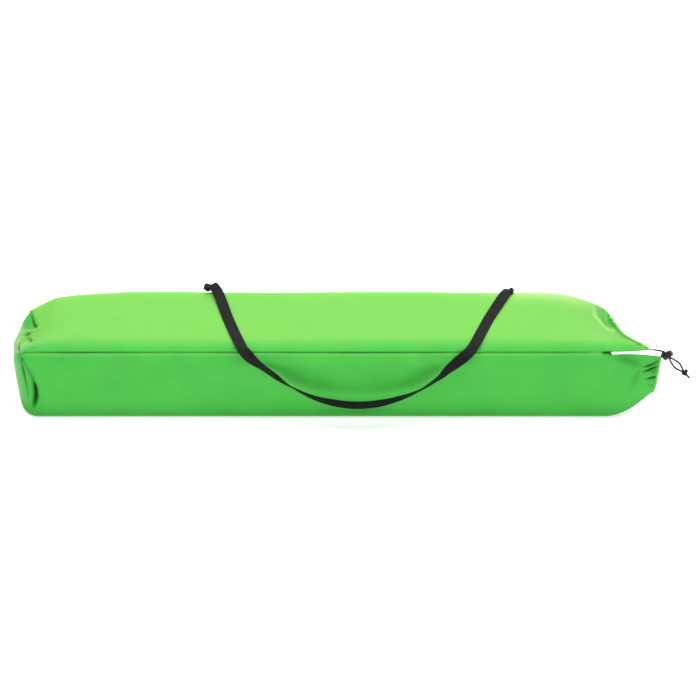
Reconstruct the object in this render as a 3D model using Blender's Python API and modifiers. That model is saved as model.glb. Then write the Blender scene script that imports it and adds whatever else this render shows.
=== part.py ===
"""Pop-up canopy packed in its drawstring carry bag.

The bag lies on the ground along X with its mouth at +X.  It holds a folded
four-leg scissor frame with its roof cover, feet towards the mouth.  Metres, +Z up,
origin at the middle of the bag's flat underside.
"""

import math

import bmesh
import bpy
from mathutils import Matrix, Vector

# --- bag ---------------------------------------------------------------------
BAG_WIDTH = 0.262
BAG_HEIGHT = 0.236
FABRIC = 0.0015
TOP_CORNER = 0.030
FOOT_CORNER = 0.014
BAG_BACK_X = -0.836
TUBE_END_X = 0.720
END_BULGE = 0.028
MOUTH_GAP = 0.0012
MOUTH_ROWS = 6
MOUTH_COLUMNS = 37
GAP = 0.0003
MID_Z = BAG_HEIGHT / 2

# --- folded frame ------------------------------------------------------------
LEG_OFFSET = 0.079
LEG_OUTER = 0.030
LEG_INNER = 0.025
LEG_WALL = 0.0008
LEG_TOP_X = -0.751
LEG_LOW_X = 0.545
INNER_TOP_X = -0.604
INNER_LOW_X = 0.600
FOOT_PLATE = 0.052
FOOT_THICK = 0.004
STAKE_HOLE = 0.004
TOP_PIVOT_X = -0.725
LOW_PIVOT_X = 0.495
BAR_WIDE = 0.025
BAR_THICK = 0.012
BAR_WALL = 0.0006
BAR_REACH = 0.013
LAYER = 0.0065
BAR_STEP = 0.026
RIVET_R = 0.003
RIVET_HOLE_R = 0.0034
RIVET_HEAD_R = 0.005
RIVET_HEAD = 0.0012
SLEEVE_HALF = 0.0205
SOCKET_HALF = 0.0154
TOP_SLEEVE = (-0.758, -0.702)
SLIDER_SLEEVE = (0.465, 0.525)
ARM_HALF_X = 0.013
ARM_TIP = 0.0155
YOKE_FACE = 0.0208
YOKE_PLATE = 0.0029
YOKE_LIP = 0.005
YOKE_TIP = 0.007
YOKE_HALF_X = 0.009
HUB_HALF = 0.013
HUB_SIDE_R = 0.049
HUB_POLE_R = 0.027
POLE_R = 0.009
POLE_TOP_X = -0.768
POLE_WALL = 0.001
COVER_X = (-0.685, 0.330)
COVER_OUTER = (0.1235, 0.1110)
COVER_INNER = (0.0985, 0.0975)

# --- latch knobs -------------------------------------------------------------
KNOB_PIN_R = 0.003
KNOB_CAP_R = 0.007
KNOB_CAP = 0.006
KNOB_X = (SLIDER_SLEEVE[0] + SLIDER_SLEEVE[1]) / 2

# --- carry strap -------------------------------------------------------------
STRAP_WIDTH = 0.030
STRAP_THICK = 0.0018
STRAP_STATIONS = 48
STRAP_HINGE = Vector((0.062, 0.125, 0.232))

# --- drawcord and its lock ---------------------------------------------------
CORD_R = 0.0021
HEM_TO_CORD = 0.0036
LOCK_CORD_APART = 0.0046
LOCK_CENTRE = Vector((0.882, -0.143, 0.238))
CORD_WAY = Vector((0.643, 0.0, -0.766)).normalized()
PLUNGER_WAY = Vector((0.766, 0.0, 0.643)).normalized()
LOCK_R = 0.010
LOCK_SPAN = (-0.012, 0.010)
LOCK_BORE_R = 0.0066
LOCK_FLOOR = 0.002
LOCK_EYE_R = 0.0044
STEM_R = 0.0062
STEM_LOW = -0.005
HEAD_SPAN = (0.0133, 0.0165)
HEAD_R = 0.0085
SPRING_R = 0.0048
SPRING_WIRE_R = 0.0004
SPRING_TURNS = 3
PLUNGER_SLOT = (-0.0022, 0.0050)
KNOT_CENTRE = Vector((0.931, -0.143, 0.176))
KNOT_R = 0.0068
KNOT_STRETCH = 1.25
KNOT_TIPS = (Vector((0.013, -0.003, -0.017)), Vector((0.010, 0.004, -0.019)))
CORD_ENTRY = 0.006
STRANDS = (  # name, side of the lock, bow of its middle, stop before the knot, spread at the knot
    ("a", -1, Vector((-0.006, -0.002, -0.004)), 0.0097, 1.6),
    ("b", 1, Vector((0.006, 0.002, 0.003)), 0.0034, 0.5),
)

SIDES = (  # outward direction, and the in-plane direction from its first leg to its second
    (Vector((0, 0, -1)), Vector((0, 1, 0))),
    (Vector((0, 1, 0)), Vector((0, 0, 1))),
    (Vector((0, 0, 1)), Vector((0, -1, 0))),
    (Vector((0, -1, 0)), Vector((0, 0, -1))),
)
SIDE_NAMES = ("under", "rear", "upper", "front")
LEG_NAMES = ("lower_front", "lower_rear", "upper_rear", "upper_front")


# --- scene helpers -----------------------------------------------------------
def clear_scene():
    for obj in list(bpy.data.objects):
        bpy.data.objects.remove(obj)


def new_collection(name):
    found = bpy.data.collections.new(name)
    bpy.context.scene.collection.children.link(found)
    return found


def material(name, colour, roughness, metallic=0.0):
    made = bpy.data.materials.new(name)
    made.use_nodes = True
    shader = made.node_tree.nodes["Principled BSDF"]
    shader.inputs["Base Color"].default_value = (*colour, 1.0)
    shader.inputs["Roughness"].default_value = roughness
    shader.inputs["Metallic"].default_value = metallic
    return made


def mesh_object(name, bm, paint=None):
    """The finished bmesh as an object in the canopy's collection."""
    bmesh.ops.recalc_face_normals(bm, faces=bm.faces)
    mesh = bpy.data.meshes.new(name)
    bm.to_mesh(mesh)
    bm.free()
    obj = bpy.data.objects.new(name, mesh)
    CANOPY.objects.link(obj)
    if paint:
        mesh.materials.append(paint)
    mesh.shade_smooth()
    mesh.set_sharp_from_angle(angle=math.radians(35))
    return obj


def helper(obj):
    """Makes obj a cutter or tool that is not part of the model."""
    for owner in list(obj.users_collection):
        owner.objects.unlink(obj)
    CUTTERS.objects.link(obj)
    obj.hide_render = True
    obj.display_type = "WIRE"
    return obj


def boolean(obj, tool, operation):
    """obj with the tool cut from it or joined to it; the tool moves with obj."""
    helper(tool)
    tool.parent = obj
    modifier = obj.modifiers.new(operation.title(), "BOOLEAN")
    modifier.operation = operation
    modifier.object = tool
    return obj


def add_box(bm, low, high):
    """A box between two corners, added to bm."""
    made = bmesh.ops.create_cube(bm, size=1.0)["verts"]
    low, high = Vector(low), Vector(high)
    size = high - low
    bmesh.ops.transform(
        bm,
        matrix=Matrix.Translation((low + high) / 2) @ Matrix.Diagonal((*size, 1.0)),
        verts=made,
    )


def add_cylinder(bm, start, end, radius, segments=16):
    """A round bar from start to end, added to bm."""
    start, end = Vector(start), Vector(end)
    way = end - start
    made = bmesh.ops.create_cone(
        bm, cap_ends=True, segments=segments, radius1=radius, radius2=radius, depth=way.length
    )["verts"]
    turn = Vector((0, 0, 1)).rotation_difference(way).to_matrix().to_4x4()
    bmesh.ops.transform(bm, matrix=Matrix.Translation((start + end) / 2) @ turn, verts=made)


def span_box(bm, axes, ranges):
    """A box given by its range along each of three perpendicular unit directions."""
    ends = [
        sum((axis * side[k] for axis, side in zip(axes, ranges)), Vector()) for k in (0, 1)
    ]
    add_box(bm, map(min, *ends), map(max, *ends))


def rounded_square(half_y, half_z, radius, per_corner=3):
    """A closed outline of (y, z) points, anticlockwise."""
    points = []
    for quarter, (sy, sz) in enumerate(((1, 1), (-1, 1), (-1, -1), (1, -1))):
        for step in range(per_corner + 1):
            angle = math.radians(90) * (quarter + step / per_corner)
            y = sy * (half_y - radius) + radius * math.cos(angle)
            z = sz * (half_z - radius) + radius * math.sin(angle)
            points.append((y, z))
    return points


def swept_strip(name, outline, x_range, wall, paint, closed):
    """An outline of (y, z) points drawn along X and thickened inwards."""
    bm = bmesh.new()
    rows = [[bm.verts.new((x, y, z)) for y, z in outline] for x in x_range]
    count = len(outline)
    for i in range(count if closed else count - 1):
        j = (i + 1) % count
        bm.faces.new((rows[0][i], rows[0][j], rows[1][j], rows[1][i]))
    obj = mesh_object(name, bm, paint)
    # The faces point outwards, so a negative offset thickens inwards.
    middle = obj.data.polygons[0]
    centre_y = sum(y for y, _ in outline) / count
    centre_z = sum(z for _, z in outline) / count
    outward = Vector((0, middle.center.y - centre_y, middle.center.z - centre_z))
    if middle.normal.dot(outward) < 0:
        obj.data.flip_normals()
    solid = obj.modifiers.new("Wall", "SOLIDIFY")
    solid.thickness = wall
    solid.offset = -1.0
    solid.use_even_offset = True
    return obj


# --- the bag -----------------------------------------------------------------
def corner_arc(centre, radius, start, end, steps=4):
    """(y, z) points on an arc, angles in degrees."""
    points = []
    for step in range(steps + 1):
        angle = math.radians(start + (end - start) * step / steps)
        points.append((centre[0] + radius * math.cos(angle), centre[1] + radius * math.sin(angle)))
    return points


def bag_corners():
    """(centre, radius) of the four corners: front top, rear top, rear foot, front foot."""
    wide, tall = BAG_WIDTH / 2, BAG_HEIGHT
    return (
        ((-wide + TOP_CORNER, tall - TOP_CORNER), TOP_CORNER),
        ((wide - TOP_CORNER, tall - TOP_CORNER), TOP_CORNER),
        ((wide - FOOT_CORNER, FOOT_CORNER), FOOT_CORNER),
        ((-wide + FOOT_CORNER, FOOT_CORNER), FOOT_CORNER),
    )


def make_bag_panels(fabric):
    """Four long panels that meet at seams half way round each corner, and the end panel."""
    corners = bag_corners()
    names = ("bag_top_panel", "bag_back_panel", "bag_bottom_panel", "bag_front_panel")
    for k, name in enumerate(names):
        (first, r1), (second, r2) = corners[k], corners[(k + 1) % 4]
        middle = 90 - 90 * k
        trim = math.degrees(GAP / r1), math.degrees(GAP / r2)
        outline = corner_arc(first, r1, middle + 45 - trim[0], middle)
        outline += corner_arc(second, r2, middle, middle - 45 + trim[1])
        swept_strip(name, outline, (BAG_BACK_X + GAP, TUBE_END_X), FABRIC, fabric, False)

    bm = bmesh.new()
    bmesh.ops.create_grid(bm, x_segments=6, y_segments=6, size=1.0)
    for vert in bm.verts:
        u, v = vert.co.x, vert.co.y
        bulge = END_BULGE * (1 - u**4) * (1 - v**4)
        half_y = BAG_WIDTH / 2 - 0.004
        half_z = BAG_HEIGHT / 2 - 0.004
        vert.co = Vector((BAG_BACK_X - FABRIC - bulge, u * half_y, MID_Z + v * half_z))
    end = mesh_object("bag_end_panel", bm, fabric)
    solid = end.modifiers.new("Wall", "SOLIDIFY")
    solid.thickness = FABRIC
    solid.offset = 0.0


def curve_point(points, k, t):
    """A point on the smooth curve through the given points, between k and k + 1."""
    last = len(points) - 1
    p0, p1 = points[max(k - 1, 0)], points[k]
    p2, p3 = points[min(k + 1, last)], points[min(k + 2, last)]
    square = 2 * p0 - 5 * p1 + 4 * p2 - p3
    cube = 3 * p1 - p0 - 3 * p2 + p3
    return 0.5 * (2 * p1 + (p2 - p0) * t + square * t * t + cube * t**3)


def even_places(points, count):
    """(k, t) places on the smooth curve, count of them at even steps of its length."""
    per_span = 24
    places = [(k, n / per_span) for k in range(len(points) - 1) for n in range(per_span)]
    places.append((len(points) - 2, 1.0))
    fine = [curve_point(points, k, t) for k, t in places]
    along = [0.0]
    for a, b in zip(fine, fine[1:]):
        along.append(along[-1] + (b - a).length)
    chosen, spot = [], 0
    for n in range(count):
        want = along[-1] * n / (count - 1)
        while spot < len(along) - 1 and along[spot] < want - 1e-9:
            spot += 1
        before = max(spot - 1, 0)
        share = (want - along[before]) / max(along[spot] - along[before], 1e-12)
        k, t = places[before]
        chosen.append((k, min(t + min(max(share, 0.0), 1.0) / per_span, 1.0)))
    return chosen


def smooth_path(points, count):
    """count points at even steps along a smooth curve through the given points."""
    return [curve_point(points, k, t) for k, t in even_places(points, count)]


def hem_points():
    """The mouth's hem, from the lock over the top, down the back, and up the front to the lock."""
    route = (  # point, and the share of the tube's outline that leads to it
        ((0.855, -0.128, 0.2375), 0.00),
        ((0.815, -0.098, 0.2380), 0.05),
        ((0.768, -0.052, 0.2370), 0.10),
        ((0.747, 0.000, 0.2270), 0.16),
        ((0.740, 0.045, 0.2040), 0.235),
        ((0.737, 0.074, 0.1600), 0.31),
        ((0.736, 0.082, 0.1100), 0.39),
        ((0.739, 0.060, 0.0620), 0.48),
        ((0.754, 0.010, 0.0400), 0.58),
        ((0.790, -0.050, 0.0420), 0.66),
        ((0.833, -0.098, 0.0640), 0.74),
        ((0.852, -0.124, 0.1000), 0.82),
        ((0.859, -0.133, 0.1500), 0.89),
        ((0.854, -0.131, 0.2300), 1.00),
    )
    points = [Vector(point) for point, _ in route]
    shares = [share for _, share in route]
    hem, k = [], 0
    for n in range(MOUTH_COLUMNS):
        share = n / (MOUTH_COLUMNS - 1)
        while k < len(shares) - 2 and shares[k + 1] < share:
            k += 1
        hem.append(curve_point(points, k, (share - shares[k]) / (shares[k + 1] - shares[k])))
    return hem


def tube_ring():
    """The bag's outline at the tube's end, from the front seam over the top and round."""
    points = []
    corners = bag_corners()
    for k in range(4):
        (first, r1), (second, r2) = corners[k], corners[(k + 1) % 4]
        middle = 90 - 90 * k
        points += corner_arc(first, r1, middle + 45, middle)
        points += corner_arc(second, r2, middle, middle - 45)
    x = TUBE_END_X + MOUTH_GAP
    spaced = smooth_path([Vector((x, y, z)) for y, z in points], MOUTH_COLUMNS)
    spaced[0].z += 0.001
    spaced[-1].z -= 0.001
    return spaced


def mouth_rows():
    """Rows of points from the tube's end to the hem, open at the front slit."""
    rows = []
    for r in range(MOUTH_ROWS):
        t = r / (MOUTH_ROWS - 1)
        row = []
        for a, b in zip(tube_ring(), hem_points()):
            # The cloth leaves the tube along X and then turns in to the hem.
            point = a.lerp(b, t)
            point.y = a.y + (b.y - a.y) * t * t
            point.z = a.z + (b.z - a.z) * t * t
            row.append(point)
        rows.append(row)
    return rows


def make_bag_mouth(fabric):
    """The slack end of the tube, gathered from its outline to the hem."""
    bm = bmesh.new()
    grid = [[bm.verts.new(point) for point in row] for row in mouth_rows()]
    for lower, upper in zip(grid, grid[1:]):
        for i in range(len(lower) - 1):
            bm.faces.new((lower[i], lower[i + 1], upper[i + 1], upper[i]))
    obj = mesh_object("bag_mouth", bm, fabric)
    solid = obj.modifiers.new("Wall", "SOLIDIFY")
    solid.thickness = FABRIC
    solid.offset = 0.0


def strap_frames():
    """Centre points and unit width directions of the webbing, from its left seam to its right."""
    stations = (  # point, direction of the webbing's width
        ((-0.343, 0.129, 0.230), (1.00, 0.00, 0.00)),
        ((-0.341, 0.128, 0.244), (1.00, 0.05, 0.00)),
        ((-0.335, 0.126, 0.250), (1.00, 0.15, 0.00)),
        ((-0.317, 0.099, 0.246), (1.00, 0.30, 0.00)),
        ((-0.288, -0.004, 0.241), (1.00, 0.38, 0.00)),
        ((-0.254, -0.109, 0.241), (1.00, 0.40, 0.00)),
        ((-0.244, -0.130, 0.239), (0.95, 0.20, 0.30)),
        ((-0.227, -0.139, 0.218), (0.95, 0.10, 0.10)),
        ((-0.198, -0.147, 0.192), (0.75, 0.42, -0.25)),
        ((-0.158, -0.154, 0.163), (0.35, 0.70, -0.55)),
        ((-0.119, -0.159, 0.138), (0.15, 0.74, -0.66)),
        ((-0.062, -0.162, 0.104), (0.05, 0.90, -0.35)),
        ((-0.003, -0.166, 0.087), (0.00, 1.00, -0.05)),
        ((0.056, -0.167, 0.080), (0.00, 1.00, 0.00)),
        ((0.117, -0.166, 0.086), (0.00, 1.00, -0.05)),
        ((0.176, -0.162, 0.103), (-0.05, 0.90, -0.30)),
        ((0.224, -0.160, 0.128), (-0.15, 0.76, -0.60)),
        ((0.271, -0.155, 0.165), (-0.30, 0.70, -0.55)),
        ((0.297, -0.149, 0.191), (-0.60, 0.50, -0.35)),
        ((0.325, -0.142, 0.214), (-0.90, 0.20, -0.05)),
        ((0.353, -0.130, 0.235), (-0.95, 0.15, 0.30)),
        ((0.371, -0.099, 0.241), (-1.00, 0.40, 0.00)),
        ((0.409, 0.001, 0.241), (-1.00, 0.46, 0.00)),
        ((0.450, 0.093, 0.246), (-1.00, 0.35, 0.00)),
        ((0.463, 0.120, 0.250), (-1.00, 0.15, 0.00)),
        ((0.463, 0.128, 0.244), (-1.00, 0.05, 0.00)),
        ((0.465, 0.129, 0.230), (-1.00, 0.00, 0.00)),
    )
    points = [Vector(point) for point, _ in stations]
    widths = [Vector(width) for _, width in stations]
    places = even_places(points, STRAP_STATIONS)
    line = [curve_point(points, k, t) for k, t in places]
    frames = []
    for n, (k, t) in enumerate(places):
        way = (line[min(n + 1, len(line) - 1)] - line[max(n - 1, 0)]).normalized()
        across = widths[k].lerp(widths[k + 1], t)
        across = (across - way * across.dot(way)).normalized()
        frames.append((line[n], across))
    return frames


def make_strap(webbing):
    """The shoulder strap: flat webbing sewn in the rear seam at both ends, hanging down the front."""
    bm = bmesh.new()
    rows = []
    for point, across in strap_frames():
        half = across * (STRAP_WIDTH / 2)
        rows.append([bm.verts.new(point - half), bm.verts.new(point + half)])
    for (a, b), (c, d) in zip(rows, rows[1:]):
        bm.faces.new((a, b, d, c))
    obj = mesh_object("carry_strap", bm, webbing)
    solid = obj.modifiers.new("Webbing", "SOLIDIFY")
    solid.thickness = STRAP_THICK
    solid.offset = 0.0


# --- the drawcord and its lock -----------------------------------------------
def cord_tube(name, points, radius, paint, resolution=3):
    """A round cord along the points, as a mesh with welded caps."""
    curve = bpy.data.curves.new(name, "CURVE")
    curve.dimensions = "3D"
    spline = curve.splines.new("POLY")
    spline.points.add(len(points) - 1)
    for node, point in zip(spline.points, points):
        node.co = (*point, 1.0)
    curve.bevel_depth = radius
    curve.bevel_resolution = resolution
    curve.use_fill_caps = True
    obj = bpy.data.objects.new(name, curve)
    CANOPY.objects.link(obj)
    curve.materials.append(paint)
    return obj


def curve_to_mesh(obj, paint):
    """The curve's tube as a closed mesh, for a Boolean."""
    graph = bpy.context.evaluated_depsgraph_get()
    mesh = bpy.data.meshes.new_from_object(obj.evaluated_get(graph))
    name, place = obj.name, obj.matrix_world.copy()
    bpy.data.objects.remove(obj)
    bm = bmesh.new()
    bm.from_mesh(mesh)
    bmesh.ops.remove_doubles(bm, verts=bm.verts, dist=0.00001)
    bpy.data.meshes.remove(mesh)
    made = mesh_object(name, bm, paint)
    made.matrix_world = place
    return made


def make_drawcord(cord):
    """The cord in the hem, which enters the lock, and its two ends, which leave it for the knot."""
    before, hem = mouth_rows()[-2:]
    ring = []
    for k, point in enumerate(hem):
        along = (hem[min(k + 1, len(hem) - 1)] - hem[max(k - 1, 0)]).normalized()
        beyond = point - before[k]
        beyond = (beyond - along * beyond.dot(along)).normalized()
        ring.append(point + beyond * HEM_TO_CORD)
    side = Vector((0, LOCK_CORD_APART / 2, 0))
    entry = LOCK_CENTRE - CORD_WAY * (LOCK_R + 2 * GAP)
    above = entry - CORD_WAY * CORD_ENTRY
    ring = [entry + side, above + side, *ring[1:-1], above - side, entry - side]
    cord_tube("drawcord_loop", smooth_path(ring, 48), CORD_R, cord, 2)

    leave = LOCK_CENTRE + CORD_WAY * (LOCK_R + 2 * GAP)
    reach = KNOT_CENTRE - leave
    for letter, sign, bow, stop, spread in STRANDS:
        offset = side * sign
        route = [
            leave + offset,
            leave + offset + reach * 0.25 + bow * 0.7,
            leave + offset + reach * 0.55 + bow,
            KNOT_CENTRE - CORD_WAY * stop + offset * spread,
        ]
        tail = cord_tube("drawcord_end_" + letter, smooth_path(route, 14), CORD_R, cord, 2)
        if letter == "b":
            add_knot(curve_to_mesh(tail, cord))


def add_knot(tail):
    """The overhand knot at the end of the second strand, with both cut tips below it."""
    bm = bmesh.new()
    bmesh.ops.create_uvsphere(bm, u_segments=14, v_segments=9, radius=KNOT_R)
    stretch = Matrix.Diagonal((1.0, 1.0, KNOT_STRETCH, 1.0))
    turn = Vector((0, 0, 1)).rotation_difference(CORD_WAY).to_matrix().to_4x4()
    place = Matrix.Translation(KNOT_CENTRE) @ turn @ stretch
    bmesh.ops.transform(bm, matrix=place, verts=bm.verts)
    boolean(tail, mesh_object("knot_ball", bm), "UNION")
    for n, tip in enumerate(KNOT_TIPS):
        bm = bmesh.new()
        add_cylinder(bm, KNOT_CENTRE + tip * 0.15, KNOT_CENTRE + tip, CORD_R, 9)
        boolean(tail, mesh_object("knot_tip_" + "ab"[n], bm), "UNION")


def turned(name, profile, steps, paint=None):
    """A solid of revolution about local Z from (radius, height) points, listed from top to bottom."""
    bm = bmesh.new()
    outline = [(0.0, profile[0][1]), *profile, (0.0, profile[-1][1])]
    verts = [bm.verts.new((radius, 0, height)) for radius, height in outline]
    for first, second in zip(verts, verts[1:]):
        bm.edges.new((first, second))
    mesh = bpy.data.meshes.new(name)
    bm.to_mesh(mesh)
    bm.free()
    obj = bpy.data.objects.new(name, mesh)
    CANOPY.objects.link(obj)
    if paint:
        mesh.materials.append(paint)
    screw = obj.modifiers.new("Turn", "SCREW")
    screw.steps = steps
    screw.render_steps = steps
    screw.use_merge_vertices = True
    screw.merge_threshold = 0.00001
    return obj


def point_along(start, way):
    """Placement with local Z along way."""
    turn = Vector((0, 0, 1)).rotation_difference(way).to_matrix().to_4x4()
    return Matrix.Translation(start) @ turn


def lock_place():
    """The lock's own frame: Z along the plunger, X along the cords."""
    z = PLUNGER_WAY
    x = CORD_WAY
    y = z.cross(x)
    return Matrix.Translation(LOCK_CENTRE) @ Matrix((x, y, z)).transposed().to_4x4()


def make_cord_lock(plastic, steel):
    """A barrel cord lock: hollow barrel, spring-loaded plunger, and the spring under it."""
    place = lock_place()
    low, high = LOCK_SPAN
    shape = (
        (LOCK_R * 0.86, high),
        (LOCK_R * 0.94, high - 0.0008),
        (LOCK_R, high - 0.0030),
        (LOCK_R, low + 0.0045),
        (LOCK_R * 0.93, low + 0.0015),
        (LOCK_R * 0.72, low),
    )
    barrel = turned("cord_lock_barrel", shape, 20, plastic)
    bore = bmesh.new()
    add_cylinder(bore, (0, 0, low + LOCK_FLOOR), (0, 0, high + 0.004), LOCK_BORE_R, 20)
    boolean(barrel, mesh_object("lock_bore", bore), "DIFFERENCE")
    eye = bmesh.new()
    add_cylinder(eye, (-0.02, 0, 0), (0.02, 0, 0), LOCK_EYE_R, 14)
    boolean(barrel, mesh_object("lock_eye", eye), "DIFFERENCE")
    barrel.matrix_world = place

    under, top = HEAD_SPAN
    shape = (
        (HEAD_R * 0.86, top),
        (HEAD_R, top - 0.0012),
        (HEAD_R, under),
        (STEM_R, under),
        (STEM_R, STEM_LOW),
    )
    plunger = turned("cord_lock_plunger", shape, 18, plastic)
    slot = bmesh.new()
    low_side, high_side = PLUNGER_SLOT
    add_box(slot, (-0.02, -0.0042, low_side), (0.02, 0.0042, high_side))
    boolean(plunger, mesh_object("plunger_slot", slot), "DIFFERENCE")
    plunger.matrix_world = place

    base = low + LOCK_FLOOR + GAP + SPRING_WIRE_R
    height = STEM_LOW - GAP - SPRING_WIRE_R - base
    steps = 11 * SPRING_TURNS
    coil = []
    for k in range(steps + 1):
        angle = math.tau * SPRING_TURNS * k / steps
        rise = base + height * k / steps
        coil.append((SPRING_R * math.cos(angle), SPRING_R * math.sin(angle), rise))
    spring = cord_tube("cord_lock_spring", coil, SPRING_WIRE_R, steel, 2)
    spring.matrix_world = place


# --- the folded frame --------------------------------------------------------
def make_leg(k, steel):
    """Outer leg tube and the inner leg that telescopes in it, with its welded foot plate."""
    outward, along = SIDES[k]
    centre = outward * LEG_OFFSET - along * LEG_OFFSET + Vector((0, 0, MID_Z))
    outer = swept_strip(
        "outer_leg_" + LEG_NAMES[k],
        rounded_square(LEG_OUTER / 2, LEG_OUTER / 2, 0.003, 2),
        (LEG_TOP_X, LEG_LOW_X),
        LEG_WALL,
        steel,
        True,
    )
    outer.location = centre

    inner = swept_strip(
        "inner_leg_" + LEG_NAMES[k],
        rounded_square(LEG_INNER / 2, LEG_INNER / 2, 0.0025, 2),
        (INNER_TOP_X, INNER_LOW_X + 0.001),
        LEG_WALL,
        steel,
        True,
    )
    bm = bmesh.new()
    half = FOOT_PLATE / 2
    add_box(bm, (INNER_LOW_X, -half, -half), (INNER_LOW_X + FOOT_THICK, half, half))
    boolean(inner, mesh_object("foot_plate", bm), "UNION")
    bm = bmesh.new()
    far = half - 0.008
    sy, sz = math.copysign(1, centre.y), math.copysign(1, centre.z - MID_Z)
    stake = Vector((0, sy * far, -sz * far))
    end = Vector((INNER_LOW_X, 0, 0))
    add_cylinder(bm, end + stake - Vector((0.01, 0, 0)), end + stake + Vector((0.02, 0, 0)), STAKE_HOLE, 10)
    hole_x = [LEG_LOW_X - 0.10 - 0.12 * n for n in range(2)]
    for x in hole_x:
        add_cylinder(bm, (x, sy * 0.008, 0), (x, sy * 0.02, 0), 0.0042, 8)
    boolean(inner, mesh_object("leg_holes", bm), "DIFFERENCE")
    inner.location = centre


def bar_middle(first, second):
    """Placement for a bar whose pivots are the two points, local X along it."""
    way = second - first
    turn = Vector((1, 0, 0)).rotation_difference(way)
    return Matrix.Translation((first + second) / 2) @ turn.to_matrix().to_4x4()


def make_bar(name, first, second, wide_way, rivets, holes, steel):
    """A scissor bar between two pivot points.

    wide_way is the direction of its 25 mm side.  rivets are places along the bar
    (-1, 0 or 1) where it carries a rivet, each with the way the rivet goes and
    whether that rivet also carries a yoke for a roof bar.
    """
    length = (second - first).length
    thin_way = Vector((1, 0, 0)).cross(wide_way)
    wide_on_y = abs(wide_way.y) > 0.5
    half = (BAR_WIDE / 2, BAR_THICK / 2) if wide_on_y else (BAR_THICK / 2, BAR_WIDE / 2)
    bar = swept_strip(
        name,
        rounded_square(*half, 0.0022, 1),
        (-length / 2 - BAR_REACH, length / 2 + BAR_REACH),
        BAR_WALL,
        steel,
        True,
    )
    if holes:
        bm = bmesh.new()
        for spot in holes:
            centre = Vector((spot * length / 2, 0, 0))
            add_cylinder(bm, centre - thin_way * 0.02, centre + thin_way * 0.02, RIVET_HOLE_R, 8)
        boolean(bar, mesh_object(name + "_holes", bm), "DIFFERENCE")
    face = BAR_THICK / 2
    through = 2 * LAYER + BAR_THICK / 2 + GAP
    for spot, towards, yoke in rivets:
        centre = Vector((spot * length / 2, 0, 0))
        shape = [
            (RIVET_HEAD_R, through + RIVET_HEAD),
            (RIVET_HEAD_R, through),
            (RIVET_R, through),
            (RIVET_R, BAR_WALL / 2 - face),
            (RIVET_HEAD_R, BAR_WALL / 2 - face),
            (RIVET_HEAD_R, -face - RIVET_HEAD),
        ]
        if yoke:
            stub = YOKE_FACE + YOKE_PLATE / 2
            shape = [(RIVET_R, stub), (RIVET_R, through + RIVET_HEAD), *shape]
        rivet = turned(name + "_rivet", shape, 8)
        rivet.matrix_world = point_along(centre, towards)
        boolean(bar, rivet, "UNION")
        if yoke:
            block, cross_pin = yoke_parts(centre, towards, wide_way * yoke)
            boolean(bar, mesh_object(name + "_yoke", block), "UNION")
            boolean(bar, mesh_object(name + "_yoke_pin", cross_pin), "UNION")
    bar.matrix_world = bar_middle(first, second)
    return bar


def yoke_parts(centre, inward, side):
    """The L-shaped block on a middle rivet's end, and the pin across it that a roof bar turns on."""
    x_way = Vector((1, 0, 0))
    depth = LEG_OFFSET + LAYER - HUB_SIDE_R
    near, far = LAYER - BAR_THICK / 2, LAYER + BAR_THICK / 2
    outline = (
        (YOKE_FACE, -YOKE_LIP),
        (YOKE_FACE + YOKE_PLATE, -YOKE_LIP),
        (YOKE_FACE + YOKE_PLATE, near),
        (depth + YOKE_TIP, near),
        (depth + YOKE_TIP, far),
        (YOKE_FACE, far),
    )
    block = bmesh.new()
    rings = []
    for x in (-YOKE_HALF_X, YOKE_HALF_X):
        rings.append([block.verts.new(centre + x_way * x + inward * u + side * v) for u, v in outline])
    count = len(outline)
    for i in range(count):
        j = (i + 1) % count
        block.faces.new((rings[0][i], rings[0][j], rings[1][j], rings[1][i]))
    block.faces.new(reversed(rings[0]))
    block.faces.new(rings[1])
    pin = bmesh.new()
    foot = centre + inward * depth
    add_cylinder(pin, foot + side * LAYER, foot - side * (far + GAP), RIVET_R, 8)
    return block, pin


def make_side_scissors(k, steel):
    """The two crossed pairs of bars between leg k and the next one, folded.

    Each pair crosses at its middle.  The bars of one layer lie side by side, so a
    folded bar leans by its own width from end to end.
    """
    outward, along = SIDES[k]
    middle = outward * LEG_OFFSET + Vector((0, 0, MID_Z))
    inward = -outward
    upper, lower = TOP_PIVOT_X, LOW_PIVOT_X

    def at(x, step, layer):
        return Vector((x, 0, 0)) + middle + along * (step * BAR_STEP) + outward * (layer * LAYER)

    name = SIDE_NAMES[k] + "_bar_"
    rivets = ((0, inward, 0), (1, inward, 1))
    make_bar(name + "1_outer", at(upper, -1, 1), at(lower, 0, 1), along, rivets, (-1,), steel)
    make_bar(name + "1_inner", at(upper, 0, -1), at(lower, -1, -1), along, (), (-1, 0, 1), steel)
    rivets = ((-1, inward, -1), (0, inward, 0))
    make_bar(name + "2_outer", at(upper, 0, 1), at(lower, 1, 1), along, rivets, (1,), steel)
    make_bar(name + "2_inner", at(upper, 1, -1), at(lower, 0, -1), along, (), (-1, 0, 1), steel)


def make_roof_scissors(k, steel):
    """The crossed pair of bars from the middle of side k to the hubs on the centre pole."""
    outward, along = SIDES[k]
    centre = Vector((0, 0, MID_Z))

    def at(x, radius, layer):
        return Vector((x, 0, 0)) + centre + outward * radius + along * (layer * LAYER)

    name = SIDE_NAMES[k] + "_roof_bar_"
    make_bar(
        name + "a", at(TOP_PIVOT_X, HUB_SIDE_R, 1), at(LOW_PIVOT_X, HUB_POLE_R, 1), outward,
        ((0, -along, 0),), (-1, 1), steel,
    )
    make_bar(
        name + "b", at(TOP_PIVOT_X, HUB_POLE_R, -1), at(LOW_PIVOT_X, HUB_SIDE_R, -1), outward,
        (), (-1, 0, 1), steel,
    )


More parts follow.
